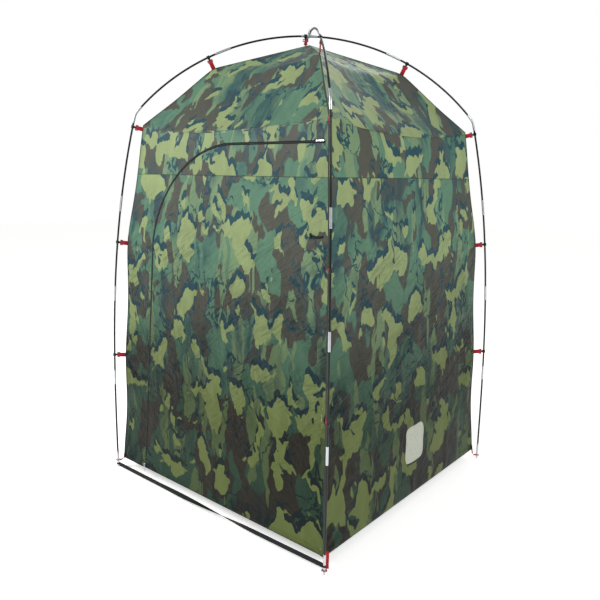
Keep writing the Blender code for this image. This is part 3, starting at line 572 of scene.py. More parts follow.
def joined(blocks):
    """Grids of (points, cloth) as points, cloth and faces, with points at the same place made one."""
    points = np.concatenate([p.reshape(-1, 3) for p, _ in blocks])
    cloth = np.concatenate([c.reshape(-1, 3) for _, c in blocks])
    faces, start = [], 0
    for grid, _ in blocks:
        rows, columns = grid.shape[:2]
        index = np.arange(rows * columns).reshape(rows, columns) + start
        corners = [index[:-1, :-1], index[:-1, 1:], index[1:, 1:], index[1:, :-1]]
        faces.append(np.stack(corners, -1).reshape(-1, 4))
        start += rows * columns
    faces = np.concatenate(faces)
    _, first, place = np.unique(np.round(points, 6), axis=0, return_index=True, return_inverse=True)
    faces = place.reshape(-1)[faces]
    loops = []
    for face in faces.tolist():
        face = [v for i, v in enumerate(face) if v != face[i - 1]]
        if len(face) > 2:
            loops.append(face)
    return points[first], cloth[first], loops


def placed(name, made, finish, body="root"):
    """A smooth mesh piece from points, cloth and faces, with its finish, riding on a body."""
    points, cloth, faces = made
    mesh = bpy.data.meshes.new(name)
    mesh.from_pydata([tuple(map(float, p)) for p in points], [], faces)
    if cloth is not None:
        layer = mesh.attributes.new("cloth", "FLOAT_VECTOR", "POINT")
        layer.data.foreach_set("vector", np.asarray(cloth, np.float32).ravel())
    mesh.shade_smooth()
    mesh.materials.append(finish_of(bpy.context.scene, finish))
    piece = bpy.data.objects.new(name, mesh)
    bpy.context.scene.collection.objects.link(piece)
    if body:
        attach(piece, body)
    return piece


def swept(centres, outs, acrosses, profile):
    """Rings of one closed profile along a line, with both ends closed. Returns points, cloth and faces."""
    profile = np.asarray(profile, float)
    rings = (
        centres[:, None, :]
        + outs[:, None, :] * profile[..., 0][..., None]
        + acrosses[:, None, :] * profile[..., 1][..., None]
    )
    count, sides = rings.shape[:2]
    marks = np.concatenate([[0.0], np.cumsum(np.linalg.norm(np.diff(centres, axis=0), axis=1))])
    around = np.concatenate([[0.0], np.cumsum(np.linalg.norm(np.diff(rings[count // 2], axis=0), axis=1))])
    cloth = np.stack(np.broadcast_arrays(around[None, :], marks[:, None], np.zeros((1, 1))), -1)
    faces = []
    for row in range(count - 1):
        for i in range(sides):
            after = (i + 1) % sides
            low, high = row * sides, (row + 1) * sides
            faces.append([low + i, low + after, high + after, high + i])
    faces += [list(range(sides))[::-1], [(count - 1) * sides + i for i in range(sides)]]
    return rings.reshape(-1, 3), cloth.reshape(-1, 3), faces


def gathered(parts):
    """Several (points, cloth, faces) as one."""
    points, cloths, faces, start = [], [], [], 0
    for some, cloth, sides in parts:
        points.append(some)
        cloths.append(cloth)
        faces += [[start + i for i in side] for side in sides]
        start += len(some)
    return np.concatenate(points), np.concatenate(cloths), faces


def circle(radius, sides):
    turn = np.arange(sides) * 2 * np.pi / sides
    return np.stack([radius * np.cos(turn), radius * np.sin(turn)], -1)


def hoop(centre, radius, count, profile):
    """A level ring of one profile."""
    turn = np.linspace(0, 2 * np.pi, count)
    outs = np.stack([np.cos(turn), np.sin(turn), 0 * turn], -1)
    return swept(np.array(centre) + outs * radius, outs, shared(UP, outs), profile)


def washer(centre, inner, outer, half):
    """A flat ring with rounded faces."""
    wide = (outer - inner) / 2
    profile = [(-wide, -half * 0.4), (-wide * 0.5, -half), (wide * 0.6, -half), (wide, -half * 0.3)]
    return hoop(centre, (inner + outer) / 2, 41, both(profile))


def softened(obj, width, angle=35, segments=2):
    """Rounds the hard edges of a piece or of a node that is kept."""
    weld = obj.modifiers.new("Weld", "WELD")
    weld.merge_threshold = 1e-5
    bevel = obj.modifiers.new("Bevel", "BEVEL")
    bevel.width, bevel.segments, bevel.limit_method = width, segments, "ANGLE"
    bevel.angle_limit = math.radians(angle)
    bevel.harden_normals = True
    return obj


# ---------------------------------------------------------------- canopy shape


class Canopy:
    """The sewn surface of the canopy. Each wall is the front one turned about the axis."""

    def __init__(self, scene):
        self.cut, self.fit = scene.tent_canopy, scene.tent_fittings
        wall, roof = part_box("left_wall"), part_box("roof")
        self.hem, self.shoulder, self.peak = wall[0].z, roof[0].z, roof[1].z
        self.heights = [self.hem, self.cut.bend_height, self.shoulder]
        self.halves = [-wall[0].x, self.cut.bend_half, roof[1].x]
        self.tabs = [sum(c.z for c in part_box(f"hook_front_left_{n}")) / 2 for n in (1, 2)]
        cut = self.cut
        ridge = [(self.halves[2], self.shoulder, 0), (cut.knee_half, cut.knee_height, 0), (0, self.peak, 0)]
        self.ridge_line = Line(rounded(ridge, 0.018))
        self.zip_line = Line([(x, z, 0) for x, z in self.zip_path()])

    def flat(self, z):
        return np.interp(z, self.heights, self.halves)

    def corner(self, z):
        """Half width at the corners, which pull in between the tabs."""
        half = self.flat(z) - 0.0012 * bell(z, self.cut.bend_height, 0.05)
        stops = [self.hem, *self.tabs, self.shoulder]
        for low, high, share in zip(stops, stops[1:], (1, 0.75, 0.6)):
            t = np.clip((z - low) / (high - low), 0, 1)
            half = half - self.cut.scallop * share * np.sin(np.pi * t) ** 2
        return half

    def settled(self, u, z):
        """Rows over the zip follow the dip of the roof seam."""
        start = self.fit.zip_top[1] + self.fit.zip_gap
        share = np.clip((z - start) / (self.shoulder - start), 0, 1)
        return z - self.cut.seam_dip * (1 - u**2) * share

    def wall(self, u, z, relief=0.0):
        half = self.corner(z)
        sag = self.cut.middle_sag * bell(z, self.shoulder + 0.02, 0.065)
        middle = self.flat(z) - sag
        distance = middle + (half - middle) * np.abs(u) ** 6 + relief
        return np.stack(np.broadcast_arrays(u * half, -distance, z), -1)

    def ridge(self, t):
        """Half width and height along a roof ridge, which sags a little between its tabs."""
        point = self.ridge_line.at(t * self.ridge_line.length)
        return point[..., 0], point[..., 1] - 0.004 * np.sin(np.pi * np.clip(t / 0.47, 0, 1)) ** 2

    def gore(self, u, t, relief=0.0):
        half, z = self.ridge(t)
        top = self.wall(u, self.settled(u, self.shoulder))
        base = np.stack(np.broadcast_arrays(u * self.halves[2], -self.halves[2], self.shoulder), -1)
        ruled = np.stack(np.broadcast_arrays(u * half, -half, z), -1)
        lean = smooth((t - 0.3) / 0.3)
        out, up = 0.767 + (0.327 - 0.767) * lean, 0.642 + (0.945 - 0.642) * lean
        hang = relief - self.cut.roof_sag * (1 - u**2) * np.sin(np.pi * np.clip(t, 0, 1)) ** 1.5
        shift = np.stack(np.broadcast_arrays(0 * hang, -out * hang, up * hang), -1)
        return ruled + ((1 - t) ** 2)[..., None] * (top - base) + shift

    def zip_path(self):
        """(x, z) along the zip: up the jamb, round the top corner and level to the hinge side."""
        foot, bend, top = self.fit.zip_foot, self.fit.zip_bend, self.fit.zip_top
        path = [
            [a + (b - a) * i / JAMB_STEPS for a, b in zip(foot[:2], bend[:2])] for i in range(JAMB_STEPS)
        ]
        wide, tall = top[0] - bend[0], top[1] - bend[1]
        for i in range(CURVE_STEPS + 1):
            angle = math.pi / 2 * i / CURVE_STEPS
            path.append((top[0] - wide * math.cos(angle), bend[1] + tall * math.sin(angle)))
        return [*path, (self.fit.zip_end, top[1])]

    def creases(self, side, u, x, z):
        """How far the cloth of a wall stands off its tight surface."""
        cut, half = self.cut, self.flat(z)
        seed = side * 11.3
        relief = cut.billow * grain(x * 2.3 + seed, z * 1.9, seed)
        bent = x + 0.02 * grain(x * 3, z * 3, seed + 2)
        upright = 0.30 + 0.7 * np.maximum(bell(np.abs(u), 1.0, 0.25), smooth((z - 1.15) / 0.2))
        relief += cut.fold * upright * grain(bent * 15 + seed, z * 1.5, seed + 3)
        ridged = ridges(grain(x * 5.5 + z * 2 + seed, z * 5.5 - x * 2, seed + 5), 2.4)
        finer = ridges(grain(x * 11 - z * 4 + seed, z * 11 + x * 4, seed + 7), 2.4)
        weight = 0.15 + 0.85 * bell(z, 0.70, 0.36)
        relief += cut.crumple * weight * (ridged * 0.65 + finer * 0.4)
        for height in (0.29, 0.54, 0.80, 1.06):
            drift = 0.012 * grain(x * 4, z * 0 + height, seed + 9)
            relief += cut.crease * np.exp(-np.abs(z - height - drift) / 0.012)
        for place in (-0.30, 0.02, 0.31):
            drift = 0.010 * grain(x * 0 + place, z * 4, seed + 10)
            pressed = np.exp(-np.abs(x - place - drift) / 0.012)
            relief += cut.crease * pressed * smooth((1.3 - z) / 0.3)
        for way, height in itertools.product((-1, 1), (*self.tabs, self.shoulder, self.hem)):
            inward = half - way * x
            reach = np.hypot(inward, z - height) + 1e-6
            fan = np.cos(9 * np.arctan2(z - height, inward) + seed + height * 7 + way)
            relief += cut.tension * np.exp(-reach / 0.11) * smooth(reach / 0.03) * fan
        edge = smooth((1 - np.abs(u)) / 0.05) * smooth((z - self.hem + 0.004) / 0.03)
        relief = relief * edge * smooth((self.shoulder + 0.01 - z) / 0.05)
        if side == 0:
            track = self.zip_line.at(np.linspace(0, self.zip_line.length, 160))
            away = np.sqrt((x[..., None] - track[:, 0]) ** 2 + (z[..., None] - track[:, 1]) ** 2).min(-1)
            relief = relief * smooth((away - 0.004) / 0.05)
        return relief

    def roof_creases(self, side, u, t):
        seed = 40 + side * 7.7
        relief = self.cut.billow * 0.8 * grain(u * 1.6 + seed, t * 2.2, seed)
        fan = u * 6 / (1.1 - t * 0.75)
        relief += self.cut.fold * 0.9 * grain(fan + seed, t * 1.5, seed + 2)
        relief += self.cut.crumple * 0.4 * ridges(grain(u * 4 + seed, t * 5, seed + 4), 2.6)
        return relief * smooth((1 - np.abs(u)) / 0.08) * smooth(t / 0.1) * smooth((1 - t) / 0.25)

    def spread(self, x, z, side=0):
        """A grid of the wall from absolute widths and heights, with its cloth coordinates."""
        x, z = np.broadcast_arrays(x, z)
        u = x / self.corner(z)
        points = self.wall(u, z, self.creases(side, u, x, z))
        return points, np.stack([x, z, 0 * x + side], -1)

    def whole_rows(self, columns, rows, side):
        """A grid of the wall from its corner to its corner, from shares of its width and from heights."""
        z = self.settled(columns, rows)
        x = columns * self.corner(z)
        points = self.wall(columns, z, self.creases(side, columns + 0 * z, x, z))
        return points, np.stack([x, z, 0 * x + side], -1)

    def hemmed(self, block):
        """The block with its lowest row turned up inside."""
        points, cloth = block
        fold = self.cut.hem_fold
        turned = []
        for rise, inward in ((fold, 0.0016), (fold / 2, 0.0018), (0.001, 0.0012)):
            row = points[0] + np.array([0, inward, rise])
            row[:, 0] *= 1 - inward / self.halves[0]
            turned.append(row)
        points = np.concatenate([turned, points])
        return points, np.concatenate([np.repeat(cloth[:1], 3, axis=0), cloth])

    def door_edge(self, sign):
        """(x, z) of the cloth's edge beside the zip, up to where the zip turns level."""
        gap = self.fit.zip_gap * sign
        path = np.array(self.zip_path()[:-1])
        ways = np.gradient(path, axis=0)
        ways[-1] = (1, 0)
        ways = unit(ways)
        edge = path + np.stack([ways[:, 1], -ways[:, 0]], -1) * gap
        edge[0, 1] = self.hem if sign < 0 else edge[0, 1]
        return edge

    def hinge(self, z):
        return self.flat(z) - self.fit.hinge_strip


def sewn(name, blocks, side=0, body="root"):
    """A cloth piece from grids of points, turned about the axis to its own side."""
    points, cloth, faces = joined(blocks)
    made = quarters(points, side), cloth, faces
    return placed(name, made, "camouflage_polyester", body)


class TENT_OT_walls(bpy.types.Operator):
    """Sews the right, rear and left walls, each hemmed along its foot"""

    bl_idname = "tent.walls"
    bl_label = "Plain walls"

    def execute(self, context):
        shape = Canopy(context.scene)
        columns = np.linspace(-1, 1, WALL_COLUMNS)[None, :]
        rows = np.linspace(shape.hem, shape.shoulder, WALL_ROWS)[:, None]
        for side, name in enumerate(("right_wall", "rear_wall", "left_wall"), 1):
            block = shape.whole_rows(columns, rows, side)
            wall = sewn(name + "_cloth", [shape.hemmed(block)], side)
            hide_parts(name)
        return {"FINISHED"}


class TENT_OT_front(bpy.types.Operator):
    """Sews the front wall round the doorway: the jamb, the header and the strip at the hinge corner"""

    bl_idname = "tent.front"
    bl_label = "Front wall"

    def execute(self, context):
        shape = Canopy(context.scene)
        edge = shape.door_edge(-1)
        share = np.linspace(0, 1, JAMB_COLUMNS)[None, :]
        z = edge[:, 1][:, None]
        x = -shape.corner(z) * (1 - share) + edge[:, 0][:, None] * share
        jamb = shape.spread(x, z)
        level = edge[-1, 1]
        rows = np.linspace(shape.hem, level, STRIP_ROWS)[:, None]
        width = shape.corner(rows) - shape.hinge(rows)
        strip_x = shape.hinge(rows) + width * np.linspace(0, 1, 5)[None, :]
        strip = shape.spread(strip_x, rows)
        over = np.linspace(edge[-1, 0], shape.hinge(level), HEADER_COLUMNS)
        columns = np.concatenate([x[-1], over[1:], strip_x[-1][1:]])[None, :] / shape.corner(level)
        rise = np.linspace(level, shape.shoulder, 13)[:, None]
        header = shape.whole_rows(columns, rise, 0)
        cuts = (
            ("front_jamb_cloth", shape.hemmed(jamb), (0.56, 1.41), 0.27),
            ("front_header_cloth", header, (1.00, 0.10), 0.065),
            ("front_strip_cloth", shape.hemmed(strip), (0.025, 1.41), 0.026),
        )
        for name, block, flat, area in cuts:
            piece = sewn(name, [block])
            if block is not header:
                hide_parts("front_wall")
        return {"FINISHED"}


class TENT_OT_door(bpy.types.Operator):
    """Sews the door, which stays sewn to the corner at its hinge side"""

    bl_idname = "tent.door"
    bl_label = "Door"

    def execute(self, context):
        shape = Canopy(context.scene)
        edge = shape.door_edge(1)
        share = np.linspace(0, 1, DOOR_COLUMNS)[None, :]
        z = edge[:, 1][:, None]
        x = edge[:, 0][:, None] * (1 - share) + shape.hinge(z) * share
        door = sewn("door_cloth", [shape.hemmed(shape.spread(x, z))], body=None)
        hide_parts("door_panel")
        with_hinge(door)
        return {"FINISHED"}


def with_hinge(piece):
    """Reads the door hinge's point and axis from the joints, and bakes the piece's placement into its mesh.
    """
    joint = next(j for j in frame["joints"] if j["name"] == "door_hinge")
    point, axis = Vector(joint["pos_m"]), Vector(joint["axis"]).normalized()
    inward = Vector((0, -1, 0)).cross(axis).normalized()
    inward = inward if inward.x < 0 else -inward
    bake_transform(piece)


LAP_LIFT = 0.0009


class TENT_OT_roof(bpy.types.Operator):
    """Sews the roof of four gores, which laps over the walls"""

    bl_idname = "tent.roof"
    bl_label = "Roof"

    def execute(self, context):
        shape = Canopy(context.scene)
        columns = np.linspace(-1, 1, ROOF_COLUMNS)[None, :]
        rows = np.linspace(0, 1, ROOF_ROWS)[:, None]
        blocks = []
        for side in range(4):
            u, t = np.broadcast_arrays(columns, rows)
            points = shape.gore(u, t, shape.roof_creases(side, u, t))
            seam = shape.settled(columns, np.array([[shape.shoulder]]))
            laps = [shape.wall(columns, seam - shape.cut.lap * share, LAP_LIFT) for share in (1.0, 0.4)]
            points = np.concatenate([*laps, points])
            along = np.concatenate([[[1.62], [1.625]], 1.63 + rows * 0.72])
            cloth = np.stack(np.broadcast_arrays(points[..., 0], along, np.array([[5.0 + side]])), -1)
            blocks.append((quarters(points, side), cloth))
        roof = sewn("roof_cloth", blocks)
        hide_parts("roof")
        return {"FINISHED"}


class TENT_OT_tapes(bpy.types.Operator):
    """Binds the four corners and ridges with a dark tape"""

    bl_idname = "tent.tapes"
    bl_label = "Corner tapes"

    def execute(self, context):
        shape = Canopy(context.scene)
        nodes = {"front_left": "corner_binding_a", "front_right": "corner_binding_b_front"}
        nodes["rear_left"] = "corner_binding_b_rear"
        z = np.linspace(shape.hem - 0.003, shape.shoulder, 150)
        low = np.stack([shape.corner(z), z], -1)
        t = np.linspace(0, 1, 90)[1:]
        high = np.stack(shape.ridge(t), -1)
        flat = np.concatenate([low, high]) * [ROOT2, 1]
        ways = ways_of(flat)
        section = [(-1.4, -2.3), (0.1, -2.0), (0.8, -0.8), (0.8, 0.8), (0.1, 2.0), (-1.4, 2.3), (-1.8, 0)]
        for name, corner in CORNERS.items():
            out = np.array(corner)
            centres = flat[:, :1] * out + flat[:, 1:] * np.array(UP)
            outs = ways[:, 1:] * out - ways[:, :1] * np.array(UP)
            across = shared(corner.cross(UP), outs)
            points, _, faces = swept(centres, outs, across, np.array(section) * MM)
            tape = placed(f"corner_tape_{name}", (points, None, faces), "corner_tape")
            if name in nodes:
                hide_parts(nodes[name])
        return {"FINISHED"}


# ---------------------------------------------------------------- poles, tabs and hooks


class Arch:
    """The centre line of one arch pole, by length from its first foot."""

    def __init__(self, scene, letter):
        poles = scene.tent_poles
        top = poles.top + (poles.crossing_rise if letter == "b" else 0)
        foot = poles.foot_side / ROOT2
        elbow, drop = foot - poles.lean, top - poles.shoulder
        radius = (elbow**2 + drop**2) / (2 * drop)
        shares = [i / LEG_STEPS for i in range(LEG_STEPS + 1)]
        leg = [(foot - poles.lean * share**3, poles.shoulder * share, 0) for share in shares]
        turns = [math.asin(elbow / radius) * (1 - i / ROOF_STEPS) for i in range(ROOF_STEPS + 1)]
        roof = [(radius * math.sin(t), top - radius * (1 - math.cos(t)), 0) for t in turns]
        self.elbow = Line(leg).length
        corner, reach = Vector(leg[-1]), poles.elbow_blend
        before = [p for p in map(Vector, leg) if (p - corner).length >= reach]
        after = [p for p in map(Vector, roof) if (p - corner).length >= reach]
        half = Line(rounded([before[-1], corner, after[0]], 1, 12)[1:-1])
        line = [*map(tuple, before), *map(tuple, half.points[1:-1]), *map(tuple, after)]
        self.half_length = Line(line).length
        self.corner = CORNERS[ARCHES[letter][0]]
        whole = [self.corner * p[0] + UP * p[1] for p in line]
        whole += [UP * p[1] - self.corner * p[0] for p in line[-2::-1]]
        self.line = Line(whole)
        hook = self.half_length - radius * math.asin(poles.roof_hook / radius)
        self.hooks = [*poles.hook_lengths, hook]
        joint = self.elbow + poles.roof_joint * (self.half_length - self.elbow)
        firsts = [*poles.leg_joints, self.elbow, joint]
        lasts = [2 * self.half_length - s for s in reversed(firsts)]
        self.joints = [*firsts, self.half_length, *lasts]
        self.elbows = (3, 7)

    def tube(self, steps, sides=16):
        """A swept tube through (length, radius) steps."""
        s = np.array([step[0] for step in steps])
        radii = np.array([step[1] for step in steps])
        centres, ways = self.line.at(s), self.line.way(np.clip(s, 0.004, self.line.length - 0.004))
        across = shared(self.corner.cross(UP), ways)
        outs = np.cross(across, ways)
        rings = circle(1.0, sides)[None] * radii[:, None, None]
        return swept(centres, outs, across, rings)

    def axes(self, s, first):
        """Axes on the pole at a length from one foot: X away from the tent, Z up the pole."""
        length = s if first else self.line.length - s
        way = Vector(self.line.way(length)) * (1 if first else -1)
        outward = self.corner if first else -self.corner
        out = outward * way.z - UP * way.dot(outward)
        turned = Matrix((out, way.cross(out), way)).transposed().to_4x4()
        return Matrix.Translation(Vector(self.line.at(length))) @ turned


def arches_of(context):
    return {letter: Arch(context.scene, letter) for letter in ARCHES}


class TENT_OT_poles(bpy.types.Operator):
    """Makes the two arch poles: lacquered rods, bright ferrules, bent elbows and foot tips"""

    bl_idname = "tent.poles"
    bl_label = "Arch poles"

    def execute(self, context):
        poles = context.scene.tent_poles
        thin, thick = poles.rod_radius, poles.ferrule_radius
        for letter, arch in arches_of(context).items():
            ends = [0.0, *arch.joints, arch.line.length]
            for number, (low, high) in enumerate(zip(ends, ends[1:]), 1):
                count = max(int((high - low) / 0.02), 4)
                steps = [(s, thin) for s in np.linspace(low + 0.0004, high - 0.0004, count)]
                steps = [(steps[0][0], thin - 0.0006), *steps[1:-1], (steps[-1][0], thin - 0.0006)]
                steps.insert(1, (low + 0.0012, thin))
                if number in (1, 12):
                    steps = [step for step in steps if 0.01 < step[0] < arch.line.length - 0.01]
                rod = placed(f"pole_{letter}_rod_{number:02d}", arch.tube(steps), "black_lacquer")
                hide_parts(f"pole_{letter}_section_{number:02d}")
            for number, joint in enumerate(arch.joints, 1):
                reach = poles.elbow_half if number - 1 in arch.elbows else poles.ferrule_half
                lip = 0.0007
                outside = [(joint - reach, thick - lip), (joint - reach + lip, thick)]
                outside += [(s, thick) for s in np.linspace(joint - reach + 0.002, joint + reach - 0.002, 13)]
                outside += [(joint + reach - lip, thick), (joint + reach, thick - lip)]
                steps = [(joint - reach, thin), *outside, (joint + reach, thin)]
                ferrule = arch.tube(steps)
                placed(f"pole_{letter}_ferrule_{number:02d}", ferrule, "bright_tube")
            for number, first in enumerate((True, False), 1):
                steps = [(0, 0.0024), (0.001, 0.0034), (0.004, 0.0034)]
                steps += [(0.0041, thick - 0.0004), (0.0048, thick)]
                steps += [(s, thick) for s in (0.02, 0.04, 0.06, 0.0755)]
                steps += [(poles.tip_length, thick - 0.0004), (poles.tip_length, thin)]
                if not first:
                    steps = [(arch.line.length - s, r) for s, r in reversed(steps)]
                placed(f"pole_{letter}_tip_{number}", arch.tube(steps), "bright_tube")
        return {"FINISHED"}


def stitched_tab(name, axes, room, half, bar, gather=1.0):
    """A webbing tab from the canopy corner, doubled round a hook's bar, where it may be gathered narrower."""
    eye = ((-6.0, 0.9), (-3.0, 2.4), (2.0, 2.9), (4.8, 2.0), (6.0, 0.0))
    top = [(-room + 0.001, 0.0009), *[(-bar + x * MM, y * MM) for x, y in eye]]
    line = np.array([*top, *[(x, -y) for x, y in reversed(top[:-1])]])
    rows = np.linspace(-half, half, 5)
    points, cloth = [], []
    marks = np.concatenate([[0.0], np.cumsum(np.linalg.norm(np.diff(line, axis=0), axis=1))])
    for across in rows:
        pinch = 1 - 0.10 * (abs(across) / half) ** 8
        for (x, y), mark in zip(line, marks):
            away = min(max((-x - bar) / (room - bar), 0), 1)
            points.append(axes @ Vector((x, y * pinch, across * (gather + (1 - gather) * away))))
            cloth.append((across, mark, 0))
    count, faces = len(line), []
    for row in range(len(rows) - 1):
        for i in range(count - 1):
            low, high = row * count, (row + 1) * count
            faces.append([low + i, low + i + 1, high + i + 1, high + i])
    tab = placed(name, (points, cloth, faces), "red_webbing")
    thick = tab.modifiers.new("Thickness", "SOLIDIFY")
    thick.thickness, thick.offset = 0.0010, -1
    return tab


class TENT_OT_tabs(bpy.types.Operator):
    """Sews the red webbing tabs that hold the canopy in the hooks, and the tabs and eyelets at the feet"""

    bl_idname = "tent.tabs"
    bl_label = "Webbing tabs and eyelets"

    def execute(self, context):
        fit = context.scene.tent_fittings
        shape = Canopy(context.scene)
        for letter, arch in arches_of(context).items():
            for first, name in zip((True, False), ARCHES[letter]):
                for number, s in enumerate(arch.hooks, 1):
                    axes = arch.axes(s, first)
                    room = self.room(shape, axes)
                    stitched_tab(f"tab_{name}_{number}", axes, room, fit.tab_half, fit.hook_bar)
                self.foot(context, name)
        arch = arches_of(context)["a"]
        axes = arch.axes(arch.half_length - context.scene.tent_poles.apex_hook, True)
        room = axes.translation.z - shape.peak
        stitched_tab("tab_apex", axes, room, fit.tab_half, fit.hook_bar, gather=0.5)
        return {"FINISHED"}

    def room(self, shape, axes):
        """How far the canopy's corner is from the pole, straight in."""
        heights = np.linspace(shape.hem, shape.shoulder, 60)
        line = rounded([(shape.corner(z) * ROOT2, z, 0) for z in heights], 0)
        line += [Vector((half * ROOT2, z, 0)) for half, z in zip(*shape.ridge(np.linspace(0.01, 1, 60)))]
        inward = -axes.col[0].to_3d()
        best, distance = 0.03, 1.0
        for point in line:
            place = axes.translation.to_3d()
            corner = place.xy.normalized()
            spot = Vector((corner.x * point.x, corner.y * point.x, point.y))
            along = (spot - place).dot(inward)
            off = (spot - place - inward * along).length
            if off < distance:
                best, distance = along, off
        return best

    def foot(self, context, name):
        """The tab from a hem corner down to its eyelet round a pole tip."""
        fit, poles = context.scene.tent_fittings, context.scene.tent_poles
        shape = Canopy(context.scene)
        height = fit.eyelet_heights[0 if name == "front_left" else 1]
        start, foot = shape.halves[0] * ROOT2 + 0.0010, poles.foot_side / ROOT2
        line = [(start - 0.002, shape.hem + 0.022), (start + 0.001, shape.hem)]
        line += [(start + 0.004, height + 0.007), (start + 0.011, height + 0.0005)]
        line += [(foot - fit.eyelet_radius + 0.001, height)]
        line = rounded([(x, z, 0) for x, z in line], 0.006, 4)
        corner = CORNERS[name]
        centres = np.array([corner * p.x + UP * p.y for p in line])
        ways = ways_of(centres)
        across = shared(corner.cross(UP), ways)
        outs = np.cross(across, ways)
        aside = -0.0125 if name == "front_right" else 0.0
        centres = centres + across * aside * np.linspace(1, 0.85, len(centres))[:, None]
        half, deep = fit.tab_half * 0.8, 0.7 * MM
        profile = [(deep, -half), (deep, 0), (deep, half), (-deep, half), (-deep, 0), (-deep, -half)]
        strip = swept(centres, outs, across, profile)
        middle, hole, edge = corner * foot + UP * height, fit.eyelet_hole, fit.eyelet_radius
        pad = washer(middle, hole + 0.002, edge + 0.001, 0.0008)
        tab = placed(f"foot_tab_{name}", gathered([strip, pad]), "red_webbing")
        softened(tab, 0.3 * MM)
        eyelet = washer(middle, hole, edge - 0.0012, 0.0013)
        placed(f"eyelet_{name}", eyelet, "bright_tube")


class TENT_OT_hardware(bpy.types.Operator):
    """Finishes the kept parts: hooks, zip sliders and pulls, and the shock cords"""

    bl_idname = "tent.hardware"
    bl_label = "Hooks, sliders and cords"

    def execute(self, context):
        kinds = (
            (("hook_",), "moulded_nylon", 0.4 * MM),
            (("zip_slider", "zip_pull"), "bright_casting", 0.2 * MM),
            (("shock_cord",), "braided_elastic", 0),
        )
        for starts, look, rounding in kinds:
            for name, node in frame["nodes"].items():
                if name.startswith(starts):
                    self.finish(node, finish_of(context.scene, look), rounding)
        return {"FINISHED"}

    def finish(self, node, look, width):
        if not node.material_slots:
            node.data.materials.append(look)
        for slot in node.material_slots:
            slot.link = "OBJECT"
            slot.material = look
        if width:
            softened(node, width)


# ---------------------------------------------------------------- zip, tie, strap, patch and loop


class TENT_OT_zip(bpy.types.Operator):
    """Makes the zip: a tape and a row of teeth on each side of its line"""

    bl_idname = "tent.zip"
    bl_label = "Zip"

    def execute(self, context):
        shape, fit = Canopy(context.scene), context.scene.tent_fittings
        tape_section = ((0.4, -0.4), (2.4, 0.5), (4.3, 0.5), (4.9, 0.0), (2.4, 0.0), (0.4, -0.8))
        tooth_section = ((-0.4, -0.3), (-0.4, 0.7), (0.5, 1.1), (1.8, 0.9), (2.0, -0.2))
        reach = shape.zip_line.length
        for side, sign, body in (("door_side", 1, None), ("wall_side", -1, "root")):
            s = np.append(np.arange(0, reach, 0.010), reach)
            tape = self.ribbon(shape, s, sign, tape_section)
            tape = placed(f"zip_tape_{side}", tape, "zip_tape", body)
            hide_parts(f"zip_coil_{side}")
            start = 0.0 if sign > 0 else fit.tooth_pitch / 2
            parts = []
            for middle in np.arange(start + 0.002, reach - 0.002, fit.tooth_pitch):
                s = middle + np.array([-0.3, 0.3]) * fit.tooth_pitch
                parts.append(self.ribbon(shape, s, sign, tooth_section))
            teeth = placed(f"zip_teeth_{side}", gathered(parts), "zip_teeth", body)
            if sign > 0:
                with_hinge(tape)
                with_hinge(teeth)
        return {"FINISHED"}

    def ribbon(self, shape, s, sign, profile):
        """A strip along the zip's line, from (across, out) points in millimetres."""
        flat = shape.zip_line.at(s)
        ways = shape.zip_line.way(np.clip(s, 0.004, shape.zip_line.length - 0.004))
        x, z = flat[:, 0], flat[:, 1]
        centres = shape.wall(x / shape.corner(z), z)
        up = unit(centres - shape.wall(x / shape.corner(z), z - 0.01))
        outs = np.cross(np.array([[1.0, 0, 0]]), up)
        along = ways[:, :1] * np.array([1.0, 0, 0]) + ways[:, 1:2] * up
        across = np.cross(outs, along) * -sign
        return swept(centres, outs, across, [(out * MM, over * MM) for over, out in profile])


class TENT_OT_tie(bpy.types.Operator):
    """Makes the tie and toggle that hold the door when it is rolled up"""

    bl_idname = "tent.tie"
    bl_label = "Door tie"

    def execute(self, context):
        shape, fit = Canopy(context.scene), context.scene.tent_fittings
        low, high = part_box("door_tie")
        x, z = np.linspace(low.x + 0.004, high.x - 0.001, 15), np.full(15, fit.tie_height)
        share = np.linspace(0, 1, 15)
        bow = np.sin(np.pi * share)
        out = 0.0012 + 0.0024 * bow + 0.001 * (1 - share)
        centres = shape.wall(x / shape.corner(z), z - 0.004 * bow, out)
        ways = ways_of(centres)
        across = shared((0, 0.1, 0.995), ways)
        outs = np.cross(ways, across)
        half, deep = 4 * MM, 0.5 * MM
        strip = swept(centres, outs, across, [(deep, -half), (deep, half), (-deep, half), (-deep, -half)])
        strap = placed("door_tie_strap", strip, "black_webbing", None)
        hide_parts("door_tie")
        steps = [(-9, 1.6), (-8.6, 2.6), (-7.5, 3.1), (-3, 2.9), (-1.5, 2.2)]
        steps += [(-height, radius) for height, radius in reversed(steps)]
        middle = centres[0] + np.array([0, -0.0026, 0])
        spots = np.array([middle + np.array([0, 0.1 * h * MM, h * MM]) for h, _ in steps])
        rings = np.array([circle(r * MM, 14) for _, r in steps])
        made = swept(spots, shared((1.0, 0, 0), spots), shared((0, 1.0, 0), spots), rings)
        toggle = placed("door_toggle", made, "moulded_nylon", None)
        with_hinge(strap)
        with_hinge(toggle)
        return {"FINISHED"}


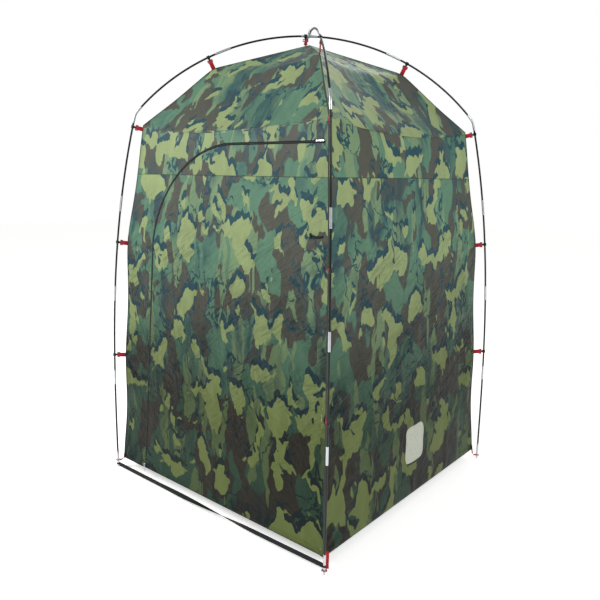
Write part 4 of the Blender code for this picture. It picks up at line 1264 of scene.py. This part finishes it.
class TENT_OT_strap(bpy.types.Operator):
    """Weaves the strap between the front feet, which turns over once on its way"""

    bl_idname = "tent.strap"
    bl_label = "Threshold strap"

    def execute(self, context):
        fit, poles = context.scene.tent_fittings, context.scene.tent_poles
        foot = poles.foot_side / 2
        low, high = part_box("threshold_strap")
        rise = (low.z + fit.strap_half, high.z - fit.strap_half)
        start, end = (Vector((sign * (foot - 6.2 * MM), -foot, z)) for sign, z in zip((-1, 1), rise))
        share = np.linspace(0, 1, 141)
        turn = smooth((share - 0.5) / (fit.strap_twist * 1.5) + 0.5) * np.pi
        centres = np.array([start.lerp(end, t) for t in share])
        centres[:, 2] -= 0.004 * np.sin(np.pi * share)
        way = (end - start).normalized()
        side = Vector((0, -1, 0))
        top = np.array(way.cross(side))
        side = np.array(side)
        wide = top * np.cos(turn)[:, None] + side * np.sin(turn)[:, None]
        thick = side * np.cos(turn)[:, None] - top * np.sin(turn)[:, None]
        half, deep = fit.strap_half, fit.strap_thick / 2
        narrow = 1 - 0.25 * np.sin(turn) ** 2
        profile = [(-deep, -half), (-deep, 0), (-deep, half), (deep, half), (deep, 0), (deep, -half)]
        rings = np.array([[(a, b * n) for a, b in profile] for n in narrow])
        strip = swept(centres, thick, wide, rings)
        loops = [self.loop(fit, Vector((sign * foot, -foot, z))) for sign, z in zip((-1, 1), rise)]
        strap = placed("threshold_strap_webbing", gathered([strip, *loops]), "black_webbing")
        softened(strap, 0.3 * MM)
        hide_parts("threshold_strap")
        return {"FINISHED"}

    def loop(self, fit, centre):
        """The sewn loop of webbing round a pole tip."""
        half, deep = fit.strap_half * 0.35, 0.7 * MM
        return hoop(centre, 6.1 * MM, 33, [(deep, -half), (deep, half), (-deep, half), (-deep, -half)])


PATCH_HALF, PATCH_CENTRE, PATCH_SQUARENESS = (0.070, 0.078), (0.025, 0.262), 0.36


class TENT_OT_patch(bpy.types.Operator):
    """Sews a plain pale patch with rounded corners on the right wall"""

    bl_idname = "tent.patch"
    bl_label = "Plain patch"

    def execute(self, context):
        shape = Canopy(context.scene)
        scale = np.array([[0, 0.15, 0.3, 0.45, 0.6, 0.75, 0.84, 0.88, 0.92, 0.97, 1]]).T
        turn = np.linspace(0, 2 * np.pi, 65)[:-1]
        x, z = (
            half * np.sign(wave) * np.abs(wave) ** PATCH_SQUARENESS * scale + middle
            for half, wave, middle in zip(PATCH_HALF, (np.cos(turn), np.sin(turn)), PATCH_CENTRE)
        )
        x, z = np.concatenate([x, x[:, :1]], 1), np.concatenate([z, z[:, :1]], 1)
        u = x / shape.corner(z)
        rise = np.full(x.shape, 0.0022)
        rise[7], rise[-1] = 0.0010, 0.0002
        points = shape.wall(u, z, shape.creases(1, u, x, z) + rise)
        points, cloth, faces = joined([(points, np.stack([x, z, 0 * x], -1))])
        placed("side_patch", (quarters(points, 1), cloth, faces), "patch_cloth")
        return {"FINISHED"}


class TENT_OT_loop(bpy.types.Operator):
    """Makes the thin elastic loop that ties the two poles together where they cross"""

    bl_idname = "tent.loop"
    bl_label = "Crossing loop"

    def execute(self, context):
        poles = context.scene.tent_poles
        middle = poles.top + poles.crossing_rise / 2
        turn = np.linspace(0, 2 * np.pi, 49)
        reach, height = 0.0075, 0.0110
        swell = 1 + 0.9 * smooth((np.sin(turn) - 0.3) / 0.7)
        way = Vector((0.35, 0.94, 0)).normalized()
        spots = zip(reach * np.cos(turn), middle + height * np.sin(turn) * swell)
        centres = np.array([way * float(over) + UP * float(up) for over, up in spots])
        ways = ways_of(centres)
        across = shared(way.cross(UP), ways)
        cord = swept(centres, np.cross(across, ways), across, circle(1.3 * MM, 8))
        placed("crossing_loop", cord, "elastic_loop")
        return {"FINISHED"}


# ---------------------------------------------------------------- stage


FLOOR_REACH, FLOOR_HEIGHT = 14.0, -0.5 * MM


class TENT_OT_stage(bpy.types.Operator):
    """Sets the floor, the lights and the camera"""

    bl_idname = "tent.stage"
    bl_label = "Stage"

    def execute(self, context):
        scene, stage = context.scene, context.scene.tent_stage
        for old in [o for o in scene.objects if o.type in ("CAMERA", "LIGHT")]:
            bpy.data.objects.remove(old)
        self.camera(scene, stage)
        world = bpy.data.worlds.new("even_sky")
        world.use_nodes = True
        world.node_tree.nodes["Background"].inputs["Color"].default_value = (1, 1, 1, 1)
        backdrop = world.node_tree.nodes.new("ShaderNodeMix")
        backdrop.inputs[2].default_value, backdrop.inputs[3].default_value = stage.sky, stage.backdrop
        seen = world.node_tree.nodes.new("ShaderNodeLightPath").outputs["Is Camera Ray"]
        world.node_tree.links.new(seen, backdrop.inputs[0])
        world.node_tree.links.new(backdrop.outputs[0], world.node_tree.nodes["Background"].inputs["Strength"])
        scene.world = world
        scene.view_settings.view_transform = "Standard"
        self.light("key", (-2.6, -3.0, 3.2), (0, 0, 1.2), 1.6, stage.key)
        self.light("fill", (3.4, -0.2, 3.0), (0, 0, 1.1), 1.4, stage.key * 0.36)
        self.light("top", (-0.8, 2.4, 3.6), (0, 0, 1.8), 1.6, stage.key * 0.16)
        mesh = bpy.data.meshes.new("floor")
        ticks = np.linspace(-FLOOR_REACH, FLOOR_REACH, 9)
        grid = np.stack(np.broadcast_arrays(ticks[None, :], ticks[:, None], np.float64(FLOOR_HEIGHT)), -1)
        points, _, faces = joined([(grid, grid)])
        mesh.from_pydata(points.tolist(), [], faces)
        mesh.materials.append(finish_of(scene, "studio_floor"))
        floor = bpy.data.objects.new("floor", mesh)
        scene.collection.objects.link(floor)
        return {"FINISHED"}

    def camera(self, scene, stage):
        turn, tilt, roll = stage.camera_turn
        right = Vector((math.cos(turn), math.sin(turn), 0))
        level = Vector((-math.sin(turn), math.cos(turn), 0))
        forward = level * math.cos(tilt) - UP * math.sin(tilt)
        upright = right.cross(forward)
        across = right * math.cos(roll) + upright * math.sin(roll)
        up = upright * math.cos(roll) - right * math.sin(roll)
        lens = bpy.data.cameras.new("camera")
        lens.lens, lens.sensor_width, lens.sensor_fit = stage.camera_lens, 36, "HORIZONTAL"
        lens.clip_end = 100
        camera = bpy.data.objects.new("camera", lens)
        turned = Matrix((across, up, -forward)).transposed().to_4x4()
        camera.matrix_world = Matrix.Translation(Vector(stage.camera_spot)) @ turned
        scene.collection.objects.link(camera)
        scene.camera = camera

    def light(self, name, place, target, side, power):
        lamp = bpy.data.lights.new(name, "AREA")
        lamp.size, lamp.energy = side, power
        made = bpy.data.objects.new(name, lamp)
        way = Vector(target) - Vector(place)
        turned = way.to_track_quat("-Z", "Y").to_matrix().to_4x4()
        made.matrix_world = Matrix.Translation(place) @ turned
        bpy.context.scene.collection.objects.link(made)


# ---------------------------------------------------------------- panel and registration

STEPS = (
    TENT_OT_stage,
    TENT_OT_walls,
    TENT_OT_front,
    TENT_OT_door,
    TENT_OT_roof,
    TENT_OT_tapes,
    TENT_OT_poles,
    TENT_OT_tabs,
    TENT_OT_hardware,
    TENT_OT_zip,
    TENT_OT_tie,
    TENT_OT_strap,
    TENT_OT_patch,
    TENT_OT_loop,
)
GROUPS = {
    "tent_canopy": CanopySettings,
    "tent_print": PrintSettings,
    "tent_poles": PoleSettings,
    "tent_fittings": FittingSettings,
    "tent_stage": StageSettings,
}


class TENT_PT_panel(bpy.types.Panel):
    """Lists the tent's pieces and their settings"""

    bl_label = "Privacy shower tent"
    bl_idname = "TENT_PT_panel"
    bl_space_type = "VIEW_3D"
    bl_region_type = "UI"
    bl_category = "Tent"

    def draw(self, context):
        for step in STEPS:
            self.layout.operator(step.bl_idname)
        for name in GROUPS:
            settings = getattr(context.scene, name)
            box = self.layout.box()
            for key in settings.bl_rna.properties.keys():
                if key not in ("rna_type", "name"):
                    box.prop(settings, key)


def register():
    for group in (*GROUPS.values(), *STEPS, TENT_PT_panel):
        bpy.utils.register_class(group)
    for name, group in GROUPS.items():
        setattr(bpy.types.Scene, name, bpy.props.PointerProperty(type=group))


def unregister():
    for name in GROUPS:
        delattr(bpy.types.Scene, name)
    for group in (TENT_PT_panel, *reversed(STEPS), *reversed(GROUPS.values())):
        bpy.utils.unregister_class(group)


def main():
    register()
    for step in STEPS:
        kind, name = step.bl_idname.split(".")
        getattr(getattr(bpy.ops, kind), name)()


if __name__ == "__main__":
    main()
